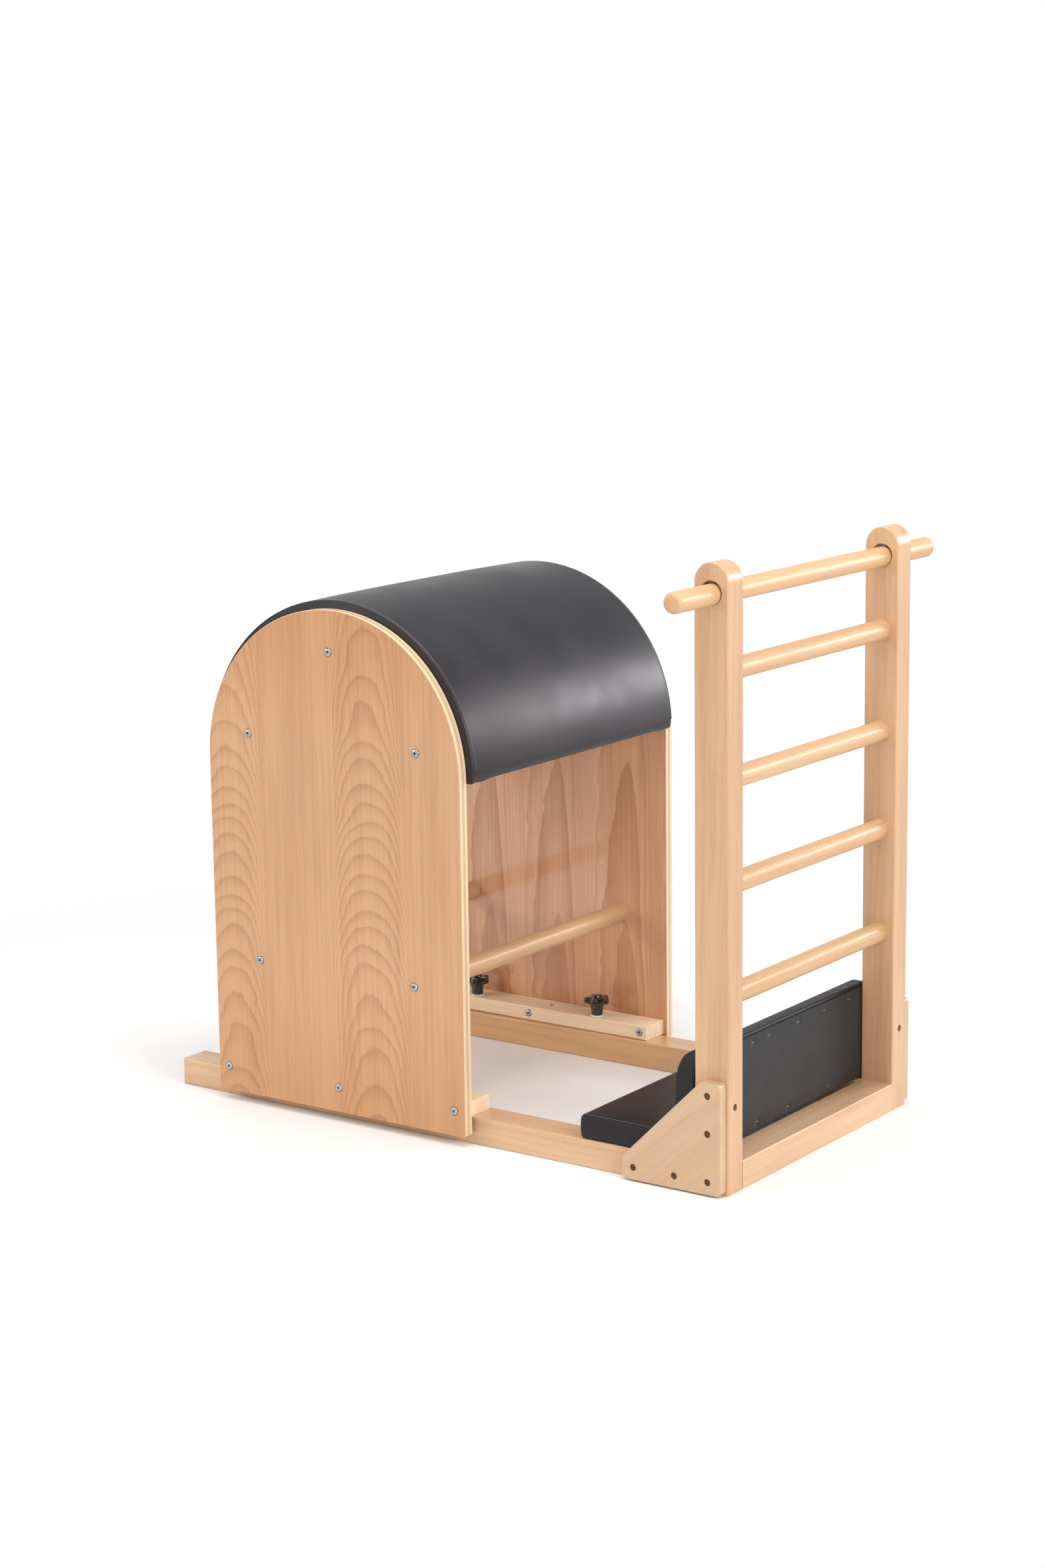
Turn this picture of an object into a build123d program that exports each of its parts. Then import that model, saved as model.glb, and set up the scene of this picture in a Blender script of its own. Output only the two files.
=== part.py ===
"""Ladder barrel: a wooden rung ladder and a padded half-round barrel on one base.

The ladder stands at +X and the barrel slides along two base rails towards or away from it.
X runs along the rails, Y across them, Z up. The origin is on the floor, in the middle of the
bounding box. "Right" is the -Y side and "left" the +Y side, as seen by someone facing the ladder.
"""

import os
from math import atan2, degrees, hypot

from build123d import *

os.makedirs("parts", exist_ok=True)

# ---- driving dimensions, millimetres ------------------------------------------------------
BASE_LENGTH = 1244
BASE_WIDTH = 640
FRONT_X = BASE_LENGTH / 2
REAR_X = -BASE_LENGTH / 2
HALF_WIDTH = BASE_WIDTH / 2

POST_HEIGHT = 1100
POST_DEPTH = 67
POST_THICKNESS = 50
POST_X = FRONT_X - POST_DEPTH / 2
POST_BACK_X = FRONT_X - POST_DEPTH
RAIL_WIDTH = 65
RAIL_HEIGHT = 52
EDGE_ROUND = 3
JOINT_GAP = 0.1
BLIND_GAP = 1

RUNG_RADIUS = 19
RUNG_HEIGHTS = (342, 538.5, 723, 911)
RUNG_SOCKET_DEPTH = 30
COLLAR_RADIUS = 21
COLLAR_THICKNESS = 2.5
BAR_RADIUS = 18.5
BAR_LENGTH = 888
BAR_HOLE_RADIUS = 21.4
BAR_HOLE_Z = 1048
BAR_END_ROUND = 9
SLIDING_GAP = 0.3
BAR_Z = BAR_HOLE_Z - BAR_HOLE_RADIUS + BAR_RADIUS + SLIDING_GAP

RAIL_TENON = (18, 30, 30)
CROSS_TENON = (28, 30, 30)
TENON_Z = 26
CROSS_TENON_OFFSET = 3.5
CROSS_TENON_X = POST_X + CROSS_TENON_OFFSET

GUSSET_THICKNESS = 20
GUSSET_INSET = 4
GUSSET_LENGTH = 202
GUSSET_HEIGHT = 201
GUSSET_FLAT = 40
GUSSET_LIFT = 3
GUSSET_CORNER = 8
SCREW_RADIUS = 2.5
SCREW_HEAD_RADIUS = 5.8
SCREW_HEAD_HEIGHT = 3
SCREW_RECESS = 4.5
SCREW_RECESS_RADIUS = 6.5
SCREW_BITE = 18
GUSSET_SCREWS = (
    (FRONT_X - 30, 181),
    (FRONT_X - 30, 113),
    (FRONT_X - 30, 26),
    (FRONT_X - 98, 26),
    (FRONT_X - 183, 26),
)
PAD_SCREW_Y = 296
PAD_SCREW_Z = 155
PAD_SCREW_BITE = 9

LEATHER = 2
BOARD = 13
CLOTH = 1
FOOT_PAD_LENGTH = 198
FOOT_PAD_HEIGHT = 46
BACK_PAD_DEPTH = 43
BACK_PAD_HEIGHT = 188
BACK_PAD_CORNER = 45
PAD_ROUND = 10
PAD_GAP = 0.3

BARREL_X = -209
PANEL_LENGTH = 584
PANEL_THICKNESS = 22
PANEL_INNER_Y = 329
PANEL_LIFT = 20
ARCH_Z = 675
ARCH_RADIUS = PANEL_LENGTH / 2
PANEL_CORNER = 6
BLOCK_LENGTH = 568
BLOCK_WIDTH = 64
BLOCK_HEIGHT = 29
BLOCK_Z = RAIL_HEIGHT + SLIDING_GAP
BLOCK_TOP_Z = BLOCK_Z + BLOCK_HEIGHT
PEG_HOLE_X = -174
PEG_HOLE_RADIUS = 4
PEG_HOLE_DEPTH = 18

DOWEL_OFFSET_X = 182
DOWEL_Z = 288
SIDE_BATTEN = (195.5, 47)
TOP_BATTEN = (0, 215)
BATTEN_WIDTH = 40
BATTEN_INNER_RADIUS = 185
BATTEN_DEPTH = 95
SHELL_INNER_RADIUS = 240
SHELL_THICKNESS = 12
SHELL_OUTER_RADIUS = SHELL_INNER_RADIUS + SHELL_THICKNESS
PAD_PROUD = 15
PAD_OUTER_RADIUS = ARCH_RADIUS + PAD_PROUD

BOLT_RADIUS = 4
BOLT_HOLE_RADIUS = 4.2
BOLT_HEAD_RADIUS = 7.5
BOLT_HEAD_HEIGHT = 3
BOLT_SOCKET = 5
BOLT_SOCKET_DEPTH = 2
CROSS_BOLT_LENGTH = 60
BLOCK_BOLT_LENGTH = 78
BLOCK_BOLT_Z = 67.5
BLOCK_BOLT_OFFSET_X = 268
SLEEVE_LENGTH = 24
SLEEVE_RADIUS = 5
SLEEVE_BORE = 4.1
SLEEVE_HEAD_RADIUS = 7
SLEEVE_HEAD_HEIGHT = 2

KNOB_X = (-350, -54)
KNOB_Y = 282
TRAVEL = 70
STUD_RADIUS = 4
STUD_HOLE_RADIUS = 5
STUD_BOTTOM_Z = 7
SLOT_WIDTH = 11
NUT_LENGTH = 30
NUT_WIDTH = 22
NUT_HEIGHT = 8
NUT_BORE = 4.05
NUT_CHANNEL_DEPTH = 18
NUT_END_GAP = 1
NUT_SIDE_GAP = 0.5
WASHER_RADIUS = 14
WASHER_HEIGHT = 2.5
WASHER_BORE = 4.5
HUB_RADIUS = 12.5
HEAD_RADIUS = 26.7
LOBES = 5
LOBE_RADIUS = 8.5
HEAD_HEIGHT = 12
HEAD_CHAMFER = 1.5
HUB_HEIGHT = 24
BOSS_RADIUS = 9.5
BOSS_HEIGHT = 4.5
BOSS_TAPER = 12

SIDES = {"right": -1, "left": 1}


def save(piece, name):
    piece.part.label = name
    export_step(piece.part, f"parts/{name}.step")


def xz_plane(y):
    """A sketch plane at this Y with local x along +X and local y along +Z; its normal is -Y."""
    return Plane.XZ.offset(-y)


def yz_plane(x):
    """A sketch plane at this X with local x along +Y and local y along +Z; its normal is +X."""
    return Plane.YZ.offset(x)


def cut_along_y(points, radius, y_start, depth):
    """Cut round holes from y_start along Y; a positive depth goes towards +Y."""
    with BuildSketch(xz_plane(y_start)) as circles:
        with Locations(*points):
            Circle(radius)
    extrude(circles.sketch, amount=-depth, mode=Mode.SUBTRACT)


def screw_along_y(points, y_head, inward, length):
    """Countersunk wood screws: heads at y_head, shanks running towards inward (+1 or -1)."""
    for radius, depth in ((SCREW_HEAD_RADIUS, SCREW_HEAD_HEIGHT), (SCREW_RADIUS, length)):
        with BuildSketch(xz_plane(y_head)) as circles:
            with Locations(*points):
                Circle(radius)
        extrude(circles.sketch, amount=-inward * depth)


# ---- base -----------------------------------------------------------------------------------
def make_rail(name, side):
    """A base rail: butts against the post, with two slots for the knob studs and their nuts."""
    y_mid = side * (HALF_WIDTH - RAIL_WIDTH / 2)
    length = POST_BACK_X - REAR_X
    with BuildPart() as rail:
        with Locations((REAR_X + length / 2, y_mid, RAIL_HEIGHT / 2)):
            Box(length, RAIL_WIDTH, RAIL_HEIGHT)
        fillet(rail.edges().filter_by(Axis.X), EDGE_ROUND)
        fillet(rail.faces().sort_by(Axis.X)[0].edges(), EDGE_ROUND / 2)
        tenon_x = POST_BACK_X + RAIL_TENON[0] / 2
        with Locations((tenon_x, side * (HALF_WIDTH - POST_THICKNESS / 2), TENON_Z)):
            Box(*RAIL_TENON)
        with BuildSketch(Plane.XY):
            with Locations(*[(x, side * KNOB_Y) for x in KNOB_X]):
                SlotOverall(2 * TRAVEL + SLOT_WIDTH, SLOT_WIDTH)
        extrude(amount=RAIL_HEIGHT, mode=Mode.SUBTRACT)
        with BuildSketch(Plane.XY):
            with Locations(*[(x, side * KNOB_Y) for x in KNOB_X]):
                Rectangle(2 * (TRAVEL + NUT_END_GAP) + NUT_LENGTH, NUT_WIDTH + 2 * NUT_SIDE_GAP)
        extrude(amount=NUT_CHANNEL_DEPTH, mode=Mode.SUBTRACT)
        rail_screws = [point for point in GUSSET_SCREWS if point[0] < POST_BACK_X]
        screw_depth = SCREW_BITE + BLIND_GAP
        cut_along_y(rail_screws, SCREW_RADIUS + JOINT_GAP, side * HALF_WIDTH, -side * screw_depth)
    save(rail, name)


def make_post(name, side):
    """A ladder post with a round top, rung sockets, the hole of the top bar and two mortises."""
    outer_y = side * HALF_WIDTH
    inner_y = side * (HALF_WIDTH - POST_THICKNESS)
    straight = POST_HEIGHT - POST_DEPTH / 2
    with BuildPart() as post:
        with BuildSketch(xz_plane(min(outer_y, inner_y))):
            with Locations((POST_X, straight / 2)):
                Rectangle(POST_DEPTH, straight)
            with Locations((POST_X, straight)):
                Circle(POST_DEPTH / 2)
        extrude(amount=-POST_THICKNESS)
        fillet(post.edges().filter_by_position(Axis.Z, 1, POST_HEIGHT), EDGE_ROUND)
        rung_points = [(POST_X, z) for z in RUNG_HEIGHTS]
        cut_along_y(rung_points, RUNG_RADIUS + JOINT_GAP, inner_y, side * (RUNG_SOCKET_DEPTH + BLIND_GAP))
        cut_along_y([(POST_X, BAR_HOLE_Z)], BAR_HOLE_RADIUS, inner_y, side * POST_THICKNESS)
        post_screws = [point for point in GUSSET_SCREWS if point[0] > POST_BACK_X]
        cut_along_y(post_screws, SCREW_RADIUS + JOINT_GAP, outer_y, -side * (SCREW_BITE + BLIND_GAP))
        with BuildSketch(yz_plane(FRONT_X)):
            with Locations((side * PAD_SCREW_Y, PAD_SCREW_Z)):
                Circle(SCREW_RADIUS + JOINT_GAP)
        extrude(amount=-POST_DEPTH, mode=Mode.SUBTRACT)
        with BuildSketch(yz_plane(FRONT_X)):
            with Locations((side * PAD_SCREW_Y, PAD_SCREW_Z)):
                Circle(SCREW_RECESS_RADIUS)
        extrude(amount=-SCREW_RECESS, mode=Mode.SUBTRACT)
        mortise_x = POST_BACK_X + RAIL_TENON[0] / 2
        with Locations((mortise_x, (outer_y + inner_y) / 2, TENON_Z)):
            Box(*[size + 2 * JOINT_GAP for size in RAIL_TENON], mode=Mode.SUBTRACT)
        with Locations((CROSS_TENON_X, inner_y + side * CROSS_TENON[1] / 2, TENON_Z)):
            Box(*[size + 2 * JOINT_GAP for size in CROSS_TENON], mode=Mode.SUBTRACT)
    save(post, name)


def make_cross_rail():
    """The floor rail between the two posts, with a tenon in each."""
    inner_y = HALF_WIDTH - POST_THICKNESS
    with BuildPart() as cross_rail:
        with Locations((POST_X, 0, RAIL_HEIGHT / 2)):
            Box(POST_DEPTH, 2 * inner_y, RAIL_HEIGHT)
        fillet(cross_rail.edges().filter_by(Axis.Y), EDGE_ROUND)
        with Locations((CROSS_TENON_X, 0, TENON_Z)):
            Box(CROSS_TENON[0], 2 * (inner_y + CROSS_TENON[1]), CROSS_TENON[2])
    save(cross_rail, "cross_rail")


def make_gusset(name, side):
    """The triangular plate that ties a post to its rail, with five recessed screw holes."""
    outer_y = side * (HALF_WIDTH + GUSSET_THICKNESS)
    front = FRONT_X - GUSSET_INSET
    rear = front - GUSSET_LENGTH
    top = GUSSET_LIFT + GUSSET_HEIGHT
    outline = [(rear, GUSSET_LIFT), (front, GUSSET_LIFT), (front, top), (front - GUSSET_FLAT, top),
               (rear, GUSSET_LIFT + GUSSET_FLAT)]
    with BuildPart() as gusset:
        with BuildSketch(xz_plane(min(outer_y, side * HALF_WIDTH))) as face:
            Polygon(*outline, align=None)
            fillet(face.vertices(), GUSSET_CORNER)
        extrude(amount=-GUSSET_THICKNESS)
        outer_face = gusset.faces().sort_by(Axis.Y)[-1 if side > 0 else 0]
        fillet(outer_face.edges(), EDGE_ROUND / 2)
        cut_along_y(GUSSET_SCREWS, SCREW_RADIUS + JOINT_GAP, outer_y, -side * GUSSET_THICKNESS)
        cut_along_y(GUSSET_SCREWS, SCREW_RECESS_RADIUS, outer_y, -side * SCREW_RECESS)
    save(gusset, name)


def make_gusset_screws(name, side):
    """Five wood screws, their heads on the floors of the gusset's recesses."""
    head_y = side * (HALF_WIDTH + GUSSET_THICKNESS - SCREW_RECESS + SCREW_HEAD_HEIGHT)
    length = GUSSET_THICKNESS - SCREW_RECESS + SCREW_HEAD_HEIGHT + SCREW_BITE
    with BuildPart() as screws:
        screw_along_y(GUSSET_SCREWS, head_y, -side, length)
    save(screws, name)


def make_pad_screws():
    """One long screw through each post into the board of the back pad."""
    head_x = FRONT_X - SCREW_RECESS + SCREW_HEAD_HEIGHT
    length = head_x - POST_BACK_X + CLOTH + PAD_SCREW_BITE
    with BuildPart() as screws:
        with BuildSketch(yz_plane(head_x)):
            with Locations((-PAD_SCREW_Y, PAD_SCREW_Z), (PAD_SCREW_Y, PAD_SCREW_Z)):
                Circle(SCREW_HEAD_RADIUS)
        extrude(amount=-SCREW_HEAD_HEIGHT)
        with BuildSketch(yz_plane(head_x)):
            with Locations((-PAD_SCREW_Y, PAD_SCREW_Z), (PAD_SCREW_Y, PAD_SCREW_Z)):
                Circle(SCREW_RADIUS)
        extrude(amount=-length)
    save(screws, "back_pad_screws")


def make_rung(name, z):
    """A fixed round rung, glued into a blind socket in each post."""
    half = HALF_WIDTH - POST_THICKNESS + RUNG_SOCKET_DEPTH
    with BuildPart() as rung:
        with BuildSketch(xz_plane(-half)):
            with Locations((POST_X, z)):
                Circle(RUNG_RADIUS)
        extrude(amount=-2 * half)
    save(rung, name)


def make_rung_collars():
    """A thin ring round each rung where it enters a post."""
    inner_y = HALF_WIDTH - POST_THICKNESS
    with BuildPart() as collars:
        for y in (-inner_y, inner_y - COLLAR_THICKNESS):
            with BuildSketch(xz_plane(y)):
                with Locations(*[(POST_X, z) for z in RUNG_HEIGHTS]):
                    Circle(COLLAR_RADIUS)
                    Circle(RUNG_RADIUS + JOINT_GAP / 2, mode=Mode.SUBTRACT)
            extrude(amount=-COLLAR_THICKNESS)
    save(collars, "rung_collars")


def make_top_bar():
    """The loose top bar: it lies in the oversize holes of the posts and can roll there."""
    with BuildPart() as bar:
        with BuildSketch(xz_plane(-BAR_LENGTH / 2)):
            with Locations((POST_X, BAR_Z)):
                Circle(BAR_RADIUS)
        extrude(amount=-BAR_LENGTH)
        fillet(bar.edges().filter_by(GeomType.CIRCLE), BAR_END_ROUND)
    save(bar, "top_bar")


def make_foot_pad():
    """The flat pad across the rails, in front of the ladder: board, foam and leather cover."""
    front = POST_BACK_X - BACK_PAD_DEPTH - PAD_GAP
    mid_x = front - FOOT_PAD_LENGTH / 2
    size_y = BASE_WIDTH
    board_size = (FOOT_PAD_LENGTH - 2 * LEATHER, size_y - 2 * LEATHER)
    foam_height = FOOT_PAD_HEIGHT - LEATHER - BOARD
    with BuildPart() as board:
        with Locations((mid_x, 0, RAIL_HEIGHT + BOARD / 2)):
            Box(*board_size, BOARD)
    save(board, "foot_pad_board")
    with BuildPart() as foam:
        with Locations((mid_x, 0, RAIL_HEIGHT + BOARD + foam_height / 2)):
            Box(*board_size, foam_height)
        fillet(foam.faces().sort_by(Axis.Z)[-1].edges(), PAD_ROUND - LEATHER)
    save(foam, "foot_pad_foam")
    with BuildPart() as cover:
        with Locations((mid_x, 0, RAIL_HEIGHT + FOOT_PAD_HEIGHT / 2)):
            Box(FOOT_PAD_LENGTH, size_y, FOOT_PAD_HEIGHT)
        fillet(cover.faces().sort_by(Axis.Z)[-1].edges(), PAD_ROUND)
        add(foam.part, mode=Mode.SUBTRACT)
        add(board.part, mode=Mode.SUBTRACT)
    save(cover, "foot_pad_cover")


def back_pad_outline(inset):
    """The back pad seen from behind, inset all round, with its two large top corners."""
    with BuildSketch() as outline:
        Rectangle(BASE_WIDTH - 2 * inset, BACK_PAD_HEIGHT - 2 * inset)
        fillet(outline.vertices().group_by(Axis.Y)[-1], BACK_PAD_CORNER - inset)
    return outline.sketch


def back_pad_slab(x, inset, thickness):
    """A slab of the back pad, from the plane x towards the front."""
    mid_z = RAIL_HEIGHT + PAD_GAP + BACK_PAD_HEIGHT / 2
    with BuildPart() as slab:
        with BuildSketch(yz_plane(x)):
            with Locations((0, mid_z)):
                add(back_pad_outline(inset))
        extrude(amount=-thickness)
    return slab.part


def back_pad_screw_holes(x, depth):
    """The two screw holes of the back pad, from the plane x towards the front."""
    with BuildPart() as holes:
        with BuildSketch(yz_plane(x)):
            with Locations((-PAD_SCREW_Y, PAD_SCREW_Z), (PAD_SCREW_Y, PAD_SCREW_Z)):
                Circle(SCREW_RADIUS + JOINT_GAP)
        extrude(amount=-depth)
    return holes.part


def make_back_pad():
    """The upright pad at the foot of the ladder: board, foam, leather cover and back cloth."""
    back = POST_BACK_X - CLOTH
    depth = BACK_PAD_DEPTH - CLOTH
    with BuildPart() as board:
        add(back_pad_slab(back, LEATHER, BOARD))
        add(back_pad_screw_holes(back, PAD_SCREW_BITE + BLIND_GAP), mode=Mode.SUBTRACT)
    save(board, "back_pad_board")
    with BuildPart() as foam:
        add(back_pad_slab(back - BOARD, LEATHER, depth - LEATHER - BOARD))
        fillet(foam.faces().sort_by(Axis.X)[0].edges(), PAD_ROUND - LEATHER)
    save(foam, "back_pad_foam")
    with BuildPart() as cover:
        add(back_pad_slab(back, 0, depth))
        fillet(cover.faces().sort_by(Axis.X)[0].edges(), PAD_ROUND)
        add(foam.part, mode=Mode.SUBTRACT)
        add(back_pad_slab(back, LEATHER, BOARD), mode=Mode.SUBTRACT)
    save(cover, "back_pad_cover")
    with BuildPart() as cloth:
        add(back_pad_slab(POST_BACK_X, 0, CLOTH))
        add(back_pad_screw_holes(POST_BACK_X, CLOTH), mode=Mode.SUBTRACT)
    save(cloth, "back_pad_cloth")


# ---- barrel ---------------------------------------------------------------------------------
CROSS_POINTS = [
    (BARREL_X + TOP_BATTEN[0], ARCH_Z + TOP_BATTEN[1]),
    (BARREL_X + SIDE_BATTEN[0], ARCH_Z + SIDE_BATTEN[1]),
    (BARREL_X - SIDE_BATTEN[0], ARCH_Z + SIDE_BATTEN[1]),
    (BARREL_X + DOWEL_OFFSET_X, DOWEL_Z),
    (BARREL_X - DOWEL_OFFSET_X, DOWEL_Z),
]
BLOCK_POINTS = [
    (BARREL_X - BLOCK_BOLT_OFFSET_X, BLOCK_BOLT_Z),
    (BARREL_X, BLOCK_BOLT_Z),
    (BARREL_X + BLOCK_BOLT_OFFSET_X, BLOCK_BOLT_Z),
]


def make_panel(name, side):
    """A side panel of the barrel: straight sides and a half-round top."""
    inner_y = side * PANEL_INNER_Y
    outer_y = side * (PANEL_INNER_Y + PANEL_THICKNESS)
    with BuildPart() as panel:
        with BuildSketch(xz_plane(min(inner_y, outer_y))) as face:
            with Locations((BARREL_X, (PANEL_LIFT + ARCH_Z) / 2)):
                Rectangle(PANEL_LENGTH, ARCH_Z - PANEL_LIFT)
            with Locations((BARREL_X, ARCH_Z)):
                Circle(ARCH_RADIUS)
            fillet(face.vertices().group_by(Axis.Y)[0], PANEL_CORNER)
        extrude(amount=-PANEL_THICKNESS)
        fillet(panel.faces().filter_by(Axis.Y).edges(), EDGE_ROUND / 2)
        cut_along_y(CROSS_POINTS + BLOCK_POINTS, BOLT_HOLE_RADIUS, inner_y, side * PANEL_THICKNESS)
    save(panel, name)


def make_block(name, side):
    """The runner block inside a panel: it rests on the rail and takes the bolts and knob studs."""
    outer_y = side * PANEL_INNER_Y
    inner_y = side * (PANEL_INNER_Y - BLOCK_WIDTH)
    with BuildPart() as block:
        with Locations((BARREL_X, (outer_y + inner_y) / 2, BLOCK_Z + BLOCK_HEIGHT / 2)):
            Box(BLOCK_LENGTH, BLOCK_WIDTH, BLOCK_HEIGHT)
        fillet(block.edges().filter_by(Axis.X), EDGE_ROUND)
        cut_along_y(BLOCK_POINTS, BOLT_HOLE_RADIUS, outer_y, -side * BLOCK_WIDTH)
        cut_along_y(BLOCK_POINTS, SLEEVE_RADIUS + JOINT_GAP, inner_y, side * (SLEEVE_LENGTH + BLIND_GAP))
        with BuildSketch(Plane.XY.offset(BLOCK_Z)):
            with Locations(*[(x, side * KNOB_Y) for x in KNOB_X]):
                Circle(STUD_HOLE_RADIUS)
        extrude(amount=BLOCK_HEIGHT, mode=Mode.SUBTRACT)
        with BuildSketch(Plane.XY.offset(BLOCK_TOP_Z)):
            with Locations((PEG_HOLE_X, (outer_y + inner_y) / 2)):
                Circle(PEG_HOLE_RADIUS)
        extrude(amount=-PEG_HOLE_DEPTH, mode=Mode.SUBTRACT)
    save(block, name)


def make_cross_dowel(name, offset_x):
    """A round dowel between the panels, bored at each end for its bolt."""
    y_end = PANEL_INNER_Y
    point = (BARREL_X + offset_x, DOWEL_Z)
    with BuildPart() as dowel:
        with BuildSketch(xz_plane(-y_end)):
            with Locations(point):
                Circle(RUNG_RADIUS)
        extrude(amount=-2 * y_end)
        for side in SIDES.values():
            cut_along_y([point], BOLT_HOLE_RADIUS, side * y_end, -side * CROSS_BOLT_LENGTH)
    save(dowel, name)


def make_batten(name, centre):
    """A batten under the arch shell, its outer face cut to the shell's curve."""
    y_end = PANEL_INNER_Y
    angle = degrees(atan2(centre[1], centre[0]))
    bolt_point = (BARREL_X + centre[0], ARCH_Z + centre[1])
    mid = BATTEN_INNER_RADIUS + BATTEN_DEPTH / 2
    reach = hypot(*centre)
    with BuildPart() as batten:
        with BuildSketch(xz_plane(-y_end)):
            with Locations((BARREL_X + centre[0] / reach * mid, ARCH_Z + centre[1] / reach * mid)):
                Rectangle(BATTEN_DEPTH, BATTEN_WIDTH, rotation=angle)
            with Locations((BARREL_X, ARCH_Z)):
                Circle(SHELL_INNER_RADIUS - JOINT_GAP, mode=Mode.INTERSECT)
        extrude(amount=-2 * y_end)
        for side in SIDES.values():
            cut_along_y([bolt_point], BOLT_HOLE_RADIUS, side * y_end, -side * CROSS_BOLT_LENGTH)
    save(batten, name)


def half_ring(inner_radius, outer_radius, z_start, half_width):
    """A half-round shell over the barrel's axis, from z_start upwards."""
    with BuildSketch(xz_plane(-half_width)) as ring:
        with Locations((BARREL_X, ARCH_Z)):
            Circle(outer_radius)
            Circle(inner_radius, mode=Mode.SUBTRACT)
        with Locations((BARREL_X, z_start - outer_radius)):
            Rectangle(3 * outer_radius, 2 * outer_radius, mode=Mode.SUBTRACT)
    extrude(ring.sketch, amount=-2 * half_width)


def make_arch():
    """The bent-ply shell with its foam and the leather cover that wraps over both ends."""
    half_width = PANEL_INNER_Y - PAD_GAP
    with BuildPart() as shell:
        half_ring(SHELL_INNER_RADIUS, SHELL_OUTER_RADIUS, ARCH_Z, half_width)
    save(shell, "arch_shell")
    with BuildPart() as foam:
        half_ring(SHELL_OUTER_RADIUS, PAD_OUTER_RADIUS - LEATHER, ARCH_Z + LEATHER, half_width - LEATHER)
        fillet(outer_arcs(foam, PAD_OUTER_RADIUS - LEATHER), PAD_ROUND - LEATHER)
    save(foam, "arch_foam")
    with BuildPart() as cover:
        half_ring(SHELL_OUTER_RADIUS, PAD_OUTER_RADIUS, ARCH_Z, half_width)
        fillet(outer_arcs(cover, PAD_OUTER_RADIUS), PAD_ROUND)
        add(foam.part, mode=Mode.SUBTRACT)
    save(cover, "arch_cover")


def outer_arcs(piece, radius):
    """The two end arcs of a half ring at this radius."""
    arcs = piece.edges().filter_by(GeomType.CIRCLE)
    return [arc for arc in arcs if abs(arc.radius - radius) < 0.01]


def make_bolts(name, points, side, length):
    """Flat-head connector bolts through a panel, each with a hexagon socket in its head."""
    face_y = side * (PANEL_INNER_Y + PANEL_THICKNESS)
    head_y = face_y + side * BOLT_HEAD_HEIGHT
    with BuildPart() as bolts:
        with BuildSketch(xz_plane(face_y)):
            with Locations(*points):
                Circle(BOLT_HEAD_RADIUS)
        extrude(amount=-side * BOLT_HEAD_HEIGHT)
        chamfer(bolts.edges().group_by(Axis.Y)[-1 if side > 0 else 0], BOLT_HEAD_HEIGHT / 3)
        with BuildSketch(xz_plane(face_y)):
            with Locations(*points):
                Circle(BOLT_RADIUS)
        extrude(amount=side * length)
        with BuildSketch(xz_plane(head_y)):
            with Locations(*points):
                RegularPolygon(BOLT_SOCKET / 2, 6, major_radius=False)
        extrude(amount=side * BOLT_SOCKET_DEPTH, mode=Mode.SUBTRACT)
    save(bolts, name)


def make_sleeve_nuts(name, side):
    """The sleeve nuts of the block bolts, with flat heads on the block's inner face."""
    inner_y = side * (PANEL_INNER_Y - BLOCK_WIDTH)
    with BuildPart() as nuts:
        with BuildSketch(xz_plane(inner_y)):
            with Locations(*BLOCK_POINTS):
                Circle(SLEEVE_HEAD_RADIUS)
        extrude(amount=side * SLEEVE_HEAD_HEIGHT)
        with BuildSketch(xz_plane(inner_y)):
            with Locations(*BLOCK_POINTS):
                Circle(SLEEVE_RADIUS)
        extrude(amount=-side * SLEEVE_LENGTH)
        mouth_y = inner_y + side * SLEEVE_LENGTH
        cut_along_y(BLOCK_POINTS, SLEEVE_BORE, mouth_y, -side * (SLEEVE_LENGTH - SLEEVE_HEAD_HEIGHT))
    save(nuts, name)


# ---- clamp knobs ----------------------------------------------------------------------------
WASHER_Z = BLOCK_TOP_Z + SLIDING_GAP
HUB_Z = WASHER_Z + WASHER_HEIGHT + SLIDING_GAP
HEAD_Z = HUB_Z + HUB_HEIGHT
NUT_Z = NUT_CHANNEL_DEPTH - SLIDING_GAP - NUT_HEIGHT


def make_washer(name, x, y):
    """The pale washer under a knob."""
    with BuildPart() as washer:
        with BuildSketch(Plane.XY.offset(WASHER_Z)):
            with Locations((x, y)):
                Circle(WASHER_RADIUS)
                Circle(WASHER_BORE, mode=Mode.SUBTRACT)
        extrude(amount=WASHER_HEIGHT)
    save(washer, name)


def make_knob(name, x, y):
    """A star knob: a round hub, a head of five lobes and a low boss on top."""
    lobe_orbit = HEAD_RADIUS - LOBE_RADIUS
    with BuildPart() as knob:
        with BuildSketch(Plane.XY.offset(HUB_Z)):
            with Locations((x, y)):
                Circle(HUB_RADIUS)
        extrude(amount=HUB_HEIGHT)
        with BuildSketch(Plane.XY.offset(HEAD_Z)):
            with Locations((x, y)):
                Circle(lobe_orbit)
                with PolarLocations(lobe_orbit, LOBES):
                    Circle(LOBE_RADIUS)
        extrude(amount=HEAD_HEIGHT)
        chamfer(knob.faces().sort_by(Axis.Z)[-1].edges(), HEAD_CHAMFER)
        with BuildSketch(Plane.XY.offset(HEAD_Z + HEAD_HEIGHT)):
            with Locations((x, y)):
                Circle(BOSS_RADIUS)
        extrude(amount=BOSS_HEIGHT, taper=BOSS_TAPER)
        with BuildSketch(Plane.XY.offset(HUB_Z)):
            with Locations((x, y)):
                Circle(STUD_RADIUS)
        extrude(amount=HUB_HEIGHT, mode=Mode.SUBTRACT)
    save(knob, name)


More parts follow.
